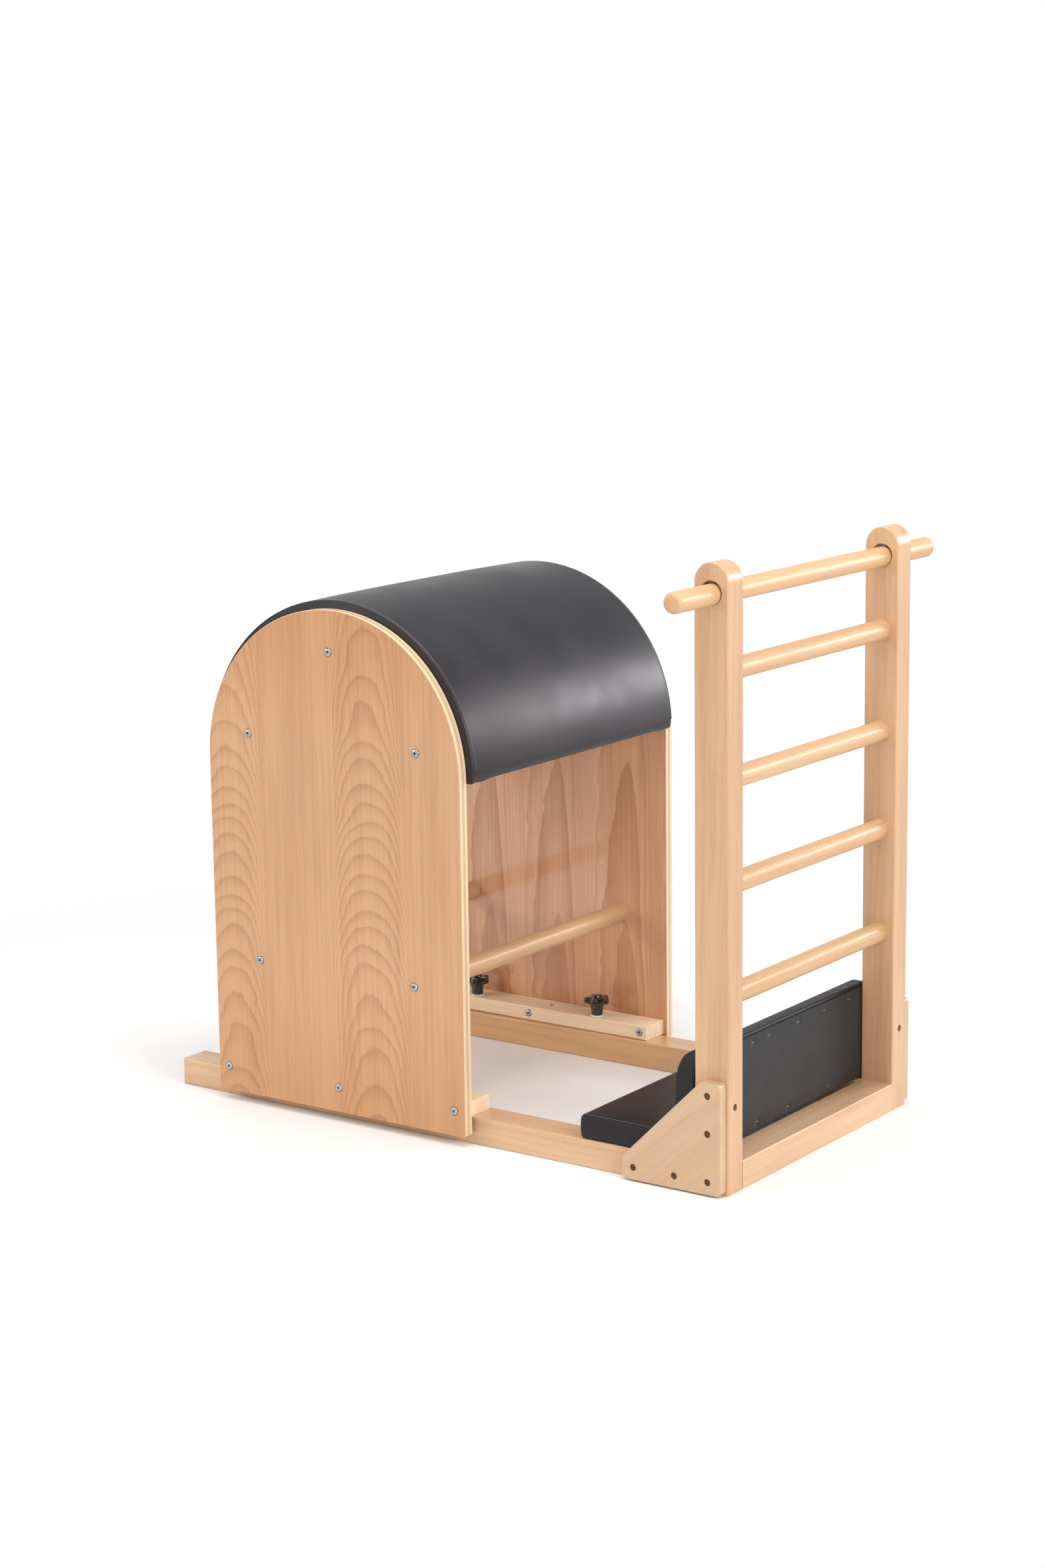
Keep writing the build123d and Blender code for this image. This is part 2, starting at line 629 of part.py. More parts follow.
def make_stud(name, x, y):
    """The threaded stud moulded into a knob: it reaches down to the nut under the rail's slot."""
    with BuildPart() as stud:
        with BuildSketch(Plane.XY.offset(STUD_BOTTOM_Z)):
            with Locations((x, y)):
                Circle(STUD_RADIUS)
        extrude(amount=HEAD_Z - STUD_BOTTOM_Z)
    save(stud, name)


def make_slot_nut(name, x, y):
    """The rectangular nut that slides in the channel under the rail's slot."""
    with BuildPart() as nut:
        with BuildSketch(Plane.XY.offset(NUT_Z)):
            with Locations((x, y)):
                Rectangle(NUT_LENGTH, NUT_WIDTH)
                Circle(NUT_BORE, mode=Mode.SUBTRACT)
        extrude(amount=NUT_HEIGHT)
    save(nut, name)


# ---- all pieces -----------------------------------------------------------------------------
for side_name, side in SIDES.items():
    make_rail(f"rail_{side_name}", side)
    make_post(f"post_{side_name}", side)
    make_gusset(f"gusset_{side_name}", side)
    make_gusset_screws(f"gusset_screws_{side_name}", side)
    make_panel(f"panel_{side_name}", side)
    make_block(f"block_{side_name}", side)
    make_bolts(f"cross_bolts_{side_name}", CROSS_POINTS, side, CROSS_BOLT_LENGTH)
    make_bolts(f"block_bolts_{side_name}", BLOCK_POINTS, side, BLOCK_BOLT_LENGTH)
    make_sleeve_nuts(f"sleeve_nuts_{side_name}", side)
    for end_name, knob_x in zip(("rear", "front"), KNOB_X):
        spot = (knob_x, side * KNOB_Y)
        make_washer(f"washer_{side_name}_{end_name}", *spot)
        make_knob(f"knob_{side_name}_{end_name}", *spot)
        make_stud(f"stud_{side_name}_{end_name}", *spot)
        make_slot_nut(f"slot_nut_{side_name}_{end_name}", *spot)

make_cross_rail()
make_pad_screws()
for number, rung_z in enumerate(RUNG_HEIGHTS, start=1):
    make_rung(f"rung_{number}", rung_z)
make_rung_collars()
make_top_bar()
make_foot_pad()
make_back_pad()
make_cross_dowel("cross_dowel_front", DOWEL_OFFSET_X)
make_cross_dowel("cross_dowel_rear", -DOWEL_OFFSET_X)
make_batten("batten_top", TOP_BATTEN)
make_batten("batten_front", SIDE_BATTEN)
make_batten("batten_rear", (-SIDE_BATTEN[0], SIDE_BATTEN[1]))
make_arch()
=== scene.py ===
"""Ladder barrel: finishes, padding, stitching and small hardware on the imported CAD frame."""

from math import cos, hypot, pi, radians, sin

import bpy
import bmesh
import numpy
from mathutils import Matrix, Vector, noise
from mathutils.bvhtree import BVHTree


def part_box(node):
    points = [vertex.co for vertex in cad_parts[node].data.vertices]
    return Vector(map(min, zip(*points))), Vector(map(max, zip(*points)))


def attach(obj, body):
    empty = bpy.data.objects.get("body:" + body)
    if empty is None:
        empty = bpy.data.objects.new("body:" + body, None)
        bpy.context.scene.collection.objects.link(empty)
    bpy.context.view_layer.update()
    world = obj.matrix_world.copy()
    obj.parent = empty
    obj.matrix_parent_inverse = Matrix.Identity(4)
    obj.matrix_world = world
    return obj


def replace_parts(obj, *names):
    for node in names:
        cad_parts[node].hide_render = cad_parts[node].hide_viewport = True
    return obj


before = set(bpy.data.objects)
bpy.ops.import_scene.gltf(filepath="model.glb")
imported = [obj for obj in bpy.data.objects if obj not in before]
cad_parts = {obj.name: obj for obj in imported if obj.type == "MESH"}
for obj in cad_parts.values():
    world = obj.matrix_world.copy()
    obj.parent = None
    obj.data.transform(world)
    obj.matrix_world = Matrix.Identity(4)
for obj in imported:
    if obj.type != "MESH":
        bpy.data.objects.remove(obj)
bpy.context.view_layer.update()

MM = 0.001
SIDES = (("right", -1), ("left", 1))
CLAMPS = ["%s_%s" % (side_name, end) for side_name, _ in SIDES for end in ("front", "rear")]
NOISE_LOW, NOISE_HIGH = 0.3, 0.7


# ---- node materials ----
class Graph:
    """A material's node tree. Its methods add one node each and return that node's result."""

    def __init__(self, name, **surface):
        self.material = bpy.data.materials.new(name)
        self.material.use_nodes = True
        self.tree = self.material.node_tree
        self.shader = self.tree.nodes["Principled BSDF"]
        for socket, value in surface.items():
            self.shader.inputs[socket.replace("_", " ")].default_value = value
        coordinates = self.tree.nodes.new("ShaderNodeTexCoord")
        self.place = coordinates.outputs["Object"]
        self.normal = coordinates.outputs["Normal"]

    def feed(self, socket, value):
        if isinstance(value, bpy.types.NodeSocket):
            self.tree.links.new(value, socket)
        else:
            socket.default_value = (*value, 1.0) if socket.type == "RGBA" else value

    def node(self, kind, values, **settings):
        made = self.tree.nodes.new("ShaderNode" + kind)
        for name, value in settings.items():
            setattr(made, name, value)
        for key, value in values.items():
            self.feed(made.inputs[key], value)
        return made

    def math(self, operation, *values, clamp=False):
        return self.node("Math", dict(enumerate(values)), operation=operation, use_clamp=clamp).outputs[0]

    def add(self, a, b, clamp=False):
        return self.math("ADD", a, b, clamp=clamp)

    def minus(self, a, b):
        return self.math("SUBTRACT", a, b)

    def times(self, a, b):
        return self.math("MULTIPLY", a, b)

    def over(self, a, b):
        return self.math("DIVIDE", a, b)

    def power(self, a, b):
        return self.math("POWER", a, b)

    def size(self, value):
        return self.math("ABSOLUTE", value)

    def scaled(self, vector, factors):
        return self.node("VectorMath", {0: vector, 1: factors}, operation="MULTIPLY").outputs[0]

    def moved(self, vector, offset):
        return self.node("VectorMath", {0: vector, 1: offset}, operation="ADD").outputs[0]

    def split(self, vector):
        return self.node("SeparateXYZ", {0: vector}).outputs

    def noise(self, vector, scale, detail=2.0, roughness=0.5):
        values = {"Vector": vector, "Scale": scale, "Detail": detail, "Roughness": roughness}
        return self.node("TexNoise", values).outputs[0]

    def lumps(self, x, y, z, detail=2.0):
        return self.noise(self.scaled(self.place, (x, y, z)), 1.0, detail)

    def voronoi(self, vector, scale, feature):
        values = {"Vector": vector, "Scale": scale}
        return self.node("TexVoronoi", values, feature=feature).outputs["Distance"]

    def span(self, value, low, high, to_low=0.0, to_high=1.0, smooth=True):
        values = {"Value": value, "From Min": low, "From Max": high, "To Min": to_low, "To Max": to_high}
        style = "SMOOTHSTEP" if smooth else "LINEAR"
        return self.node("MapRange", values, interpolation_type=style).outputs[0]

    def spread(self, value, low=0.0, high=1.0, smooth=True):
        """A noise's value, with its usual range spread from low to high."""
        return self.span(value, NOISE_LOW, NOISE_HIGH, low, high, smooth)

    def mix(self, factor, first, second, blend="MIX"):
        made = self.tree.nodes.new("ShaderNodeMix")
        made.data_type = "RGBA"
        made.blend_type = blend
        for socket, value in ((0, factor), (6, first), (7, second)):
            self.feed(made.inputs[socket], value)
        return made.outputs[2]

    def finish(self, colour, roughness, height=None, strength=0.2, distance=0.0004):
        self.feed(self.shader.inputs["Base Color"], colour)
        self.feed(self.shader.inputs["Roughness"], roughness)
        if height is not None:
            values = {"Height": height, "Strength": strength, "Distance": distance}
            bump = self.node("Bump", values)
            self.feed(self.shader.inputs["Normal"], bump.outputs[0])
        return self.material


def tint(share, colour):
    return [share * channel for channel in colour]


AXES = {"X": 0, "Y": 1, "Z": 2}
FIBRE_STRETCH = 0.022
FLECK_STRETCH = 0.16
FLECK_SHARE = 0.22
BROAD_STRETCH = 0.09


def along(graph, axis, factor, vector=None):
    """Coordinates squeezed along the grain, so that a pattern drawn on them is long that way."""
    factors = [1.0, 1.0, 1.0]
    factors[AXES[axis]] = factor
    return graph.scaled(graph.place if vector is None else vector, factors)


def saw(graph, value):
    """A growth ring's tone: it darkens slowly, then ends at once."""
    part = graph.math("FRACT", value)
    rise = graph.power(part, 2.6)
    drop = graph.span(part, 0.93, 1.0, 1.0, 0.0)
    return graph.times(rise, drop)


def fibres(graph, axis, vector=None):
    fine = graph.noise(along(graph, axis, FIBRE_STRETCH, vector), 620.0, 2.0)
    coarse = graph.noise(along(graph, axis, FIBRE_STRETCH, vector), 170.0, 2.0)
    return graph.add(graph.times(fine, 0.55), graph.times(coarse, 0.45))


def flecks(graph, axis, amount, vector=None):
    spots = graph.noise(along(graph, axis, FLECK_STRETCH, vector), 480.0, 1.0)
    return graph.span(spots, 0.66, 0.76, 0.0, amount)


def solid_wood(name, axis, light, dark, ring=0.011, ring_share=0.34, roughness=0.34, coat=0.28, tilt=None):
    """Solid timber, grain along one axis, lacquered where it has a coat; ring is a growth ring's width."""
    graph = Graph(name, Coat_Weight=coat, Coat_Roughness=0.14)
    vector = graph.place
    if tilt is not None:
        values = {"Vector": graph.place, "Axis": (0.0, 1.0, 0.0), "Angle": tilt}
        vector = graph.node("VectorRotate", values, rotation_type="AXIS_ANGLE").outputs[0]
    parts = graph.split(vector)
    across = [parts[i] for i in range(3) if i != AXES[axis]]
    broad = graph.noise(along(graph, axis, BROAD_STRETCH, vector), 16.0, 3.0)
    bend = graph.times(graph.noise(along(graph, axis, 0.16, vector), 9.0, 2.0), 0.06)
    depth = graph.add(graph.times(across[0], 0.8), graph.times(across[1], 0.45))
    rings = saw(graph, graph.over(graph.add(depth, bend), ring))
    fibre = fibres(graph, axis, vector)
    tone = graph.times(graph.spread(broad), 0.45)
    tone = graph.add(tone, graph.times(rings, ring_share))
    tone = graph.add(tone, graph.span(fibre, 0.35, 0.65, -0.09, 0.12), clamp=True)
    colour = graph.mix(tone, light, dark)
    deep = tint(0.55, dark)
    colour = graph.mix(flecks(graph, axis, FLECK_SHARE, vector), colour, deep)
    gloss = graph.spread(fibre, roughness - 0.05, roughness + 0.09)
    return graph.finish(colour, gloss, fibre, 0.06, 0.0002)


PLY_LAYERS = 5
PANEL_INNER = 0.329
PANEL_OUTER = 0.351
PANEL_MIDDLE = (0.3399, 0.3401)
CROWN_LEAF = 0.328
CROWN_PITCH = 0.044
FLAME_LEAF = 0.168
FLAME_PITCH = 0.33
FLAME_APEX = 0.60
OUTER_LIGHT = (0.62, 0.345, 0.178)
OUTER_DARK = (0.38, 0.17, 0.07)
# Partly the inner leaf's own tone and partly painted light: the inner veneer is paler than the outer, to
# brighten the shaded inside of the barrel.
INNER_LIGHT = (0.76, 0.45, 0.27)
INNER_DARK = (0.46, 0.21, 0.1)


def leaf_offset(graph, pitch, middle, sway):
    """Distance along X from the middle of the veneer leaf that a point is in."""
    x = graph.split(graph.moved(graph.place, (-middle, 0.0, 0.0)))[0]
    part = graph.math("FRACT", graph.add(graph.over(x, pitch), 0.5))
    off = graph.times(graph.minus(part, 0.5), pitch)
    drift = graph.lumps(4.0, 4.0, 2.6)
    return graph.add(off, graph.spread(drift, -sway, sway, smooth=False))


def crown_rings(graph, middle):
    """Ring number of a crown-cut leaf: round arches, closer together at half height."""
    off = leaf_offset(graph, CROWN_LEAF, middle, 0.010)
    z = graph.split(graph.place)[2]
    squared = graph.times(off, off)
    rise = graph.times(squared, 12.0)
    rise = graph.add(rise, graph.times(graph.times(squared, squared), 2000.0))
    steps = graph.over(graph.add(z, rise), CROWN_PITCH)
    crowd = graph.times(graph.math("SINE", graph.times(graph.minus(z, 0.5), 7.85)), 1.1)
    uneven = graph.lumps(3.0, 3.0, 9.0)
    feather = graph.lumps(420.0, 420.0, 40.0, 1.0)
    steps = graph.add(graph.add(steps, crowd), graph.spread(uneven, -0.45, 0.45, smooth=False))
    steps = graph.add(steps, graph.spread(feather, -0.05, 0.05, smooth=False))
    return steps, graph.size(off)


def flame_rings(graph, middle):
    """Ring number of a flat-cut leaf: tall pointed flames, ragged on one side."""
    off = leaf_offset(graph, FLAME_LEAF, middle, 0.006)
    z = graph.split(graph.place)[2]
    right = graph.math("MAXIMUM", off, 0.0)
    wide = graph.add(graph.size(off), graph.times(right, 0.7))
    teeth = graph.lumps(9.0, 9.0, 17.0)
    ragged = graph.times(graph.span(off, -0.02, 0.01, 1.0, 0.2), 0.0055)
    wide = graph.add(wide, graph.times(graph.spread(teeth, -1.0, 1.0, smooth=False), ragged))
    wide = graph.math("MAXIMUM", wide, 0.0)
    rise = graph.times(graph.power(wide, 1.43), 12.6)
    steep = graph.times(graph.power(wide, 4.0), 9000.0)
    height = graph.add(graph.add(z, rise), steep)
    return graph.over(graph.minus(height, FLAME_APEX), FLAME_PITCH)


def veneer_tones(graph, outside_middle, inside_middle, shade):
    """How dark the outer and the inner veneer are, from 0 to 1."""
    steps, off = crown_rings(graph, outside_middle)
    part = graph.math("FRACT", steps)
    ring = graph.times(graph.power(part, 3.0), graph.span(part, 0.9, 1.0, 1.0, 0.0))
    outer_tone = graph.times(ring, graph.span(off, 0.05, 0.12, 0.68, 0.2))
    stripes = graph.noise(along(graph, "Z", 0.012), 210.0, 2.0)
    outer_tone = graph.add(outer_tone, graph.span(stripes, 0.35, 0.7, -0.03, 0.16))
    level = flame_rings(graph, inside_middle)
    flames = graph.span(level, 0.0, -0.015, 0.0, 0.56)
    flames = graph.add(flames, graph.span(level, -1.0, -1.02, 0.0, 0.38))
    flames = graph.add(flames, graph.span(level, -1.0, 0.0, -0.3, 0.12))
    lines = graph.times(saw(graph, graph.times(level, 0.8)), graph.span(level, 0.0, 0.02, 0.0, 0.5))
    inner_tone = graph.add(graph.add(flames, lines), graph.span(stripes, 0.35, 0.7, -0.06, 0.14))
    return [graph.add(tone, shade, clamp=True) for tone in (outer_tone, inner_tone)]


def ply_edge(graph, y, fibre):
    """The pale layers that show on a panel's cut edges."""
    depth = graph.span(y, PANEL_INNER, PANEL_OUTER, smooth=False)
    core = graph.size(graph.minus(depth, 0.5))
    ply = graph.mix(graph.span(core, 0.14, 0.17), (0.62, 0.43, 0.25), (0.84, 0.65, 0.43))
    leaf = graph.math("FRACT", graph.times(depth, float(PLY_LAYERS * 2)))
    ply = graph.mix(graph.span(leaf, 0.0, 0.12, 0.25, 0.0), ply, (0.45, 0.29, 0.15))
    speck = graph.lumps(90.0, 260.0, 90.0)
    ply = graph.mix(graph.span(speck, 0.76, 0.84, 0.0, 0.7), ply, (0.1, 0.06, 0.03))
    return graph.mix(graph.spread(fibre, 0.0, 0.2), ply, (0.55, 0.38, 0.21))


def veneer_panel(name, outside_middle, inside_middle, coat):
    """Lacquered beech veneer on both faces, pale layered ply on the edges."""
    graph = Graph(name, Coat_Weight=coat, Coat_Roughness=0.06)
    _, y, z = graph.split(graph.place)[:3]
    y = graph.size(y)
    fibre = fibres(graph, "Z")
    broad = graph.noise(along(graph, "Z", 0.12), 13.0, 3.0)
    shade = graph.add(graph.span(fibre, 0.35, 0.65, -0.07, 0.08), graph.spread(broad, -0.06, 0.2))
    outer_tone, inner_tone = veneer_tones(graph, outside_middle, inside_middle, shade)
    outer = graph.mix(outer_tone, OUTER_LIGHT, OUTER_DARK)
    # The inner face's paler colours carry painted light for the shaded inside.
    inner = graph.mix(inner_tone, INNER_LIGHT, INNER_DARK)
    colour = graph.mix(graph.span(y, *PANEL_MIDDLE), inner, outer)
    # Painted shade: the colour is multiplied darker towards the panel's top and bottom, away from its middle
    # at z 0.52.
    painted_falloff_shade = graph.span(graph.size(graph.minus(z, 0.52)), 0.18, 0.46)
    colour = graph.mix(painted_falloff_shade, colour, (0.93, 0.84, 0.7), "MULTIPLY")
    colour = graph.mix(flecks(graph, "Z", 0.16), colour, (0.3, 0.14, 0.06))
    edge = graph.span(graph.size(graph.split(graph.normal)[1]), 0.35, 0.75, 1.0, 0.0)
    colour = graph.mix(edge, colour, ply_edge(graph, y, fibre))
    gloss = graph.add(graph.spread(fibre, 0.32, 0.4), graph.times(edge, 0.12))
    return graph.finish(colour, gloss, fibre, 0.05, 0.0002)


def leather(name, share, rough, specular):
    """Fine-grained black leather; share scales its colour."""
    graph = Graph(name, Specular_IOR_Level=specular, Specular_Tint=(1.0, 0.93, 1.0, 1.0))
    pebble = graph.voronoi(graph.place, 780.0, "SMOOTH_F1")
    pores = graph.noise(graph.place, 1900.0, 2.0)
    patch = graph.noise(graph.place, 7.0, 3.0)
    dark, light = tint(share, (0.011, 0.0105, 0.0125)), tint(share, (0.02, 0.019, 0.0215))
    colour = graph.mix(graph.spread(patch), dark, light)
    colour = graph.mix(graph.span(pebble, 0.2, 0.6, 0.0, 0.35), colour, tint(share, (0.034, 0.032, 0.036)))
    height = graph.add(pebble, graph.times(pores, 0.35))
    gloss = graph.spread(patch, rough - 0.04, rough + 0.05)
    gloss = graph.add(gloss, graph.spread(pores, -0.03, 0.04))
    return graph.finish(colour, gloss, height, 0.16, 0.0003)


THREADS = 3900.0
WEAR_SCALE = 240.0
MOULD_SCALE = 900.0


def woven(name):
    """A close plain weave, with threads along Y and Z."""
    graph = Graph(name, Sheen_Weight=0.03, Specular_IOR_Level=0.32)
    warp, weft = [graph.size(graph.math("SINE", graph.times(part, THREADS)))
                  for part in graph.split(graph.place)[1:3]]
    height = graph.math("MAXIMUM", warp, weft)
    patch = graph.noise(graph.place, 11.0, 3.0)
    dark, light = (0.021, 0.02, 0.0215), (0.034, 0.032, 0.0345)
    colour = graph.mix(graph.spread(patch), dark, light)
    colour = graph.mix(graph.times(height, 0.5), (0.013, 0.013, 0.0135), colour)
    return graph.finish(colour, graph.span(height, 0.0, 1.0, 0.62, 0.5), height, 0.18, 0.0003)


def metal(name, colour, roughness):
    graph = Graph(name, Metallic=1.0)
    wear = graph.noise(graph.place, WEAR_SCALE, 3.0)
    dull = tint(0.72, colour)
    tone = graph.mix(graph.span(wear, 0.35, 0.7), colour, dull)
    gloss = graph.spread(wear, roughness - 0.05, roughness + 0.09)
    return graph.finish(tone, gloss, wear, 0.05, 0.0002)


def moulded(name, colour, roughness, coat=0.0):
    graph = Graph(name, Coat_Weight=coat, Coat_Roughness=0.08)
    grain = graph.noise(graph.place, MOULD_SCALE, 2.0)
    patch = graph.noise(graph.place, 60.0, 2.0)
    lighter = [1.3 * channel + 0.002 for channel in colour]
    tone = graph.mix(graph.spread(patch), colour, lighter)
    gloss = graph.spread(grain, roughness - 0.03, roughness + 0.05)
    return graph.finish(tone, gloss, grain, 0.06, 0.0002)


def thread(name, colour):
    graph = Graph(name, Sheen_Weight=0.3)
    twist = graph.noise(graph.place, 2600.0, 1.0)
    deep = tint(0.45, colour)
    tone = graph.mix(graph.span(twist, 0.35, 0.65), deep, colour)
    return graph.finish(tone, 0.6, twist, 0.3, 0.0003)


BEECH_LIGHT = (0.68, 0.445, 0.265)
BEECH_DARK = (0.48, 0.27, 0.135)
POST_LIGHT = (0.63, 0.39, 0.22)
POST_DARK = (0.43, 0.222, 0.1)
# Raw wood inside the barrel: its own pale tone, made paler still as painted light for the shade it sits in.
RAW_LIGHT = (0.91, 0.73, 0.52)
RAW_DARK = (0.78, 0.57, 0.36)
# Painted shade: a warmer, slightly darker copy of the rail beech for the far rail, whose inside lies in the
# barrel's shade.
WARM_LIGHT = (0.7, 0.425, 0.215)
WARM_DARK = (0.5, 0.26, 0.11)
TURNED_LIGHT = (0.66, 0.41, 0.22)
TURNED_DARK = (0.5, 0.28, 0.125)
GUSSET_LIGHT = (0.6, 0.4, 0.245)
GUSSET_DARK = (0.48, 0.285, 0.15)
GUSSET_TILT = radians(43)

beech_x = solid_wood("beech_along_x", "X", BEECH_LIGHT, BEECH_DARK, ring_share=0.26)
# The far rail's beech: the rail beech with painted warm shade.
beech_x_shaded = solid_wood("beech_along_x_shaded", "X", WARM_LIGHT, WARM_DARK, ring_share=0.26)
beech_y = solid_wood("beech_along_y", "Y", BEECH_LIGHT, BEECH_DARK, ring_share=0.26)
beech_z = solid_wood("beech_along_z", "Z", POST_LIGHT, POST_DARK, ring=0.014, ring_share=0.16)
beech_turned = solid_wood("beech_turned", "Y", TURNED_LIGHT, TURNED_DARK, ring=0.008, ring_share=0.28,
                          roughness=0.46, coat=0.12)
beech_gusset = solid_wood("beech_gusset", "X", GUSSET_LIGHT, GUSSET_DARK, ring=0.024, ring_share=0.25,
                          tilt=GUSSET_TILT)
raw_x = solid_wood("raw_along_x", "X", RAW_LIGHT, RAW_DARK, ring=0.009, roughness=0.5, coat=0.0)
raw_y = solid_wood("raw_along_y", "Y", RAW_LIGHT, RAW_DARK, ring=0.009, roughness=0.5, coat=0.0)
panel_near = veneer_panel("veneer_right", -0.126, -0.06, 0.45)
panel_far = veneer_panel("veneer_left", -0.29, -0.006, 1.0)
hide = leather("leather_black", 0.85, 0.4, 0.5)
# Painted shade: the pads get a darker copy of the arch's leather (share 0.5 against 0.85), for the shade low
# under the barrel.
hide_pads_shaded = leather("leather_pads_shaded", 0.5, 0.44, 0.3)
cloth_black = woven("cloth_black")
chrome = metal("chrome_bright", (0.5, 0.51, 0.53), 0.26)
# Painted shade: a near-black metal for the socket floors, the rings round the bolt heads and the peg holes,
# where shade falls.
painted_shade_metal = metal("painted_shade_dark", (0.05, 0.05, 0.055), 0.5)
zinc = metal("zinc_dull", (0.62, 0.63, 0.64), 0.34)
bronze = metal("screw_dark", (0.16, 0.1, 0.06), 0.42)
plastic = moulded("knob_black", (0.004, 0.004, 0.0045), 0.16, coat=0.6)
nylon = moulded("washer_pale", (0.72, 0.72, 0.69), 0.42)
thread_grey = thread("thread_grey", (0.3, 0.3, 0.33))


def paint(material, *names):
    for name in names:
        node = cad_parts[name]
        if not node.material_slots:
            node.data.materials.append(material)
        for held in node.material_slots:
            held.material = material


paint(beech_x, "rail_right")
paint(beech_x_shaded, "rail_left")
paint(beech_z, "post_left", "post_right")
paint(beech_y, "cross_rail")
paint(beech_turned, "rung_1", "rung_2", "rung_3", "rung_4", "rung_collars", "top_bar")
paint(beech_turned, "cross_dowel_front", "cross_dowel_rear")
paint(beech_gusset, "gusset_left", "gusset_right")
paint(raw_x, "block_left", "block_right")
paint(raw_y, "batten_top", "batten_front", "batten_rear", "arch_shell")
paint(panel_near, "panel_right")
paint(panel_far, "panel_left")
for kind in ("slot_nut_", "stud_"):
    paint(zinc, *[kind + clamp for clamp in CLAMPS])
paint(bronze, "gusset_screws_left", "gusset_screws_right", "back_pad_screws")


# ---- mesh tools ----
def holder(data):
    """A new object in the scene for a mesh, a lamp or a camera, under the same name."""
    made = bpy.data.objects.new(data.name, data)
    bpy.context.scene.collection.objects.link(made)
    return made


def piece(name, vertices, faces, material, body, slot):
    """A smooth-shaded mesh that rides on a body; its slot argument is not used."""
    mesh = bpy.data.meshes.new(name)
    mesh.from_pydata(vertices, [], faces)
    mesh.update()
    made = holder(mesh)
    mesh.materials.append(material)
    mesh.polygons.foreach_set("use_smooth", [True] * len(mesh.polygons))
    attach(made, body)
    return made


def turned(levels, count):
    """Rings of points round Z, one for each (radius of angle, height), closed at both ends."""
    vertices, faces = [], []
    for radius, height in levels:
        for i in range(count):
            angle = 2 * pi * i / count
            length = radius(angle) if callable(radius) else radius
            vertices.append(Vector((length * cos(angle), length * sin(angle), height)))
    for level in range(len(levels) - 1):
        for i in range(count):
            j = (i + 1) % count
            low, high = level * count, (level + 1) * count
            faces.append((low + i, low + j, high + j, high + i))
    for level, flip in ((0, True), (len(levels) - 1, False)):
        middle = len(vertices)
        vertices.append(Vector((0.0, 0.0, levels[level][1])))
        for i in range(count):
            pair = (level * count + i, level * count + (i + 1) % count)
            faces.append((middle, *(reversed(pair) if flip else pair)))
    return vertices, faces


def grid_faces(columns, rows):
    """The faces of a grid whose points are numbered along its rows."""
    starts = [j * (columns + 1) + i for j in range(rows) for i in range(columns)]
    return [(a, a + 1, a + columns + 2, a + columns + 1) for a in starts]


def copies(shape, frames):
    """One mesh with the shape at every frame."""
    vertices, faces = [], []
    for place in frames:
        start = len(vertices)
        vertices += [place @ v for v in shape[0]]
        faces += [tuple(start + i for i in face) for face in shape[1]]
    return vertices, faces


def standing(levels, count, x, y, z):
    """A turned shape on its own upright axis."""
    return copies(turned(levels, count), [Matrix.Translation(Vector((x, y, z)))])


def course(points, i, closed):
    """The way from the point before to the point after."""
    total = len(points)
    before = points[(i - 1) % total] if closed or i else points[i]
    after = points[(i + 1) % total] if closed or i < total - 1 else points[i]
    return after - before


def sweep(points, radius, sides=8, closed=False):
    """A round bead along a line of points."""
    vertices, faces, total = [], [], len(points)
    side = None
    for i, point in enumerate(points):
        ahead = course(points, i, closed).normalized()
        if side is None:
            side = ahead.orthogonal().normalized()
        side = (side - ahead * side.dot(ahead)).normalized()
        up = ahead.cross(side)
        for k in range(sides):
            angle = 2 * pi * k / sides
            vertices.append(point + radius * (cos(angle) * side + sin(angle) * up))
    for i in range(total if closed else total - 1):
        for k in range(sides):
            j, n = (i + 1) % total, (k + 1) % sides
            faces.append((i * sides + k, i * sides + n, j * sides + n, j * sides + k))
    if not closed:
        faces.append(tuple(reversed(range(sides))))
        faces.append(tuple((total - 1) * sides + k for k in range(sides)))
    return vertices, faces


def even(points, step, closed=False):
    """The line's points, a step apart."""
    line = list(points) + ([points[0]] if closed else [])
    lengths = [0.0]
    for a, b in zip(line, line[1:]):
        lengths.append(lengths[-1] + (b - a).length)
    count = max(2, round(lengths[-1] / step))
    out, at = [], 0
    for i in range(count if closed else count + 1):
        goal = lengths[-1] * i / count
        while at < len(lengths) - 2 and lengths[at + 1] < goal:
            at += 1
        share = (goal - lengths[at]) / max(lengths[at + 1] - lengths[at], 1e-9)
        out.append(line[at].lerp(line[at + 1], share))
    return out


def box_round(points):
    return [Vector([pick(point[i] for point in points) for i in range(3)]) for pick in (min, max)]


def surface_tree(obj):
    depsgraph = bpy.context.evaluated_depsgraph_get()
    return BVHTree.FromObject(obj, depsgraph)


STITCH_PITCH = 0.0042
STITCH_LENGTH = 0.003
STITCH_SIDES = 6
STITCH_RINGS = ((-0.5, 0.35, -0.7), (-0.3, 1.0, 0.5), (0.3, 1.0, 0.5), (0.5, 0.35, -0.7))


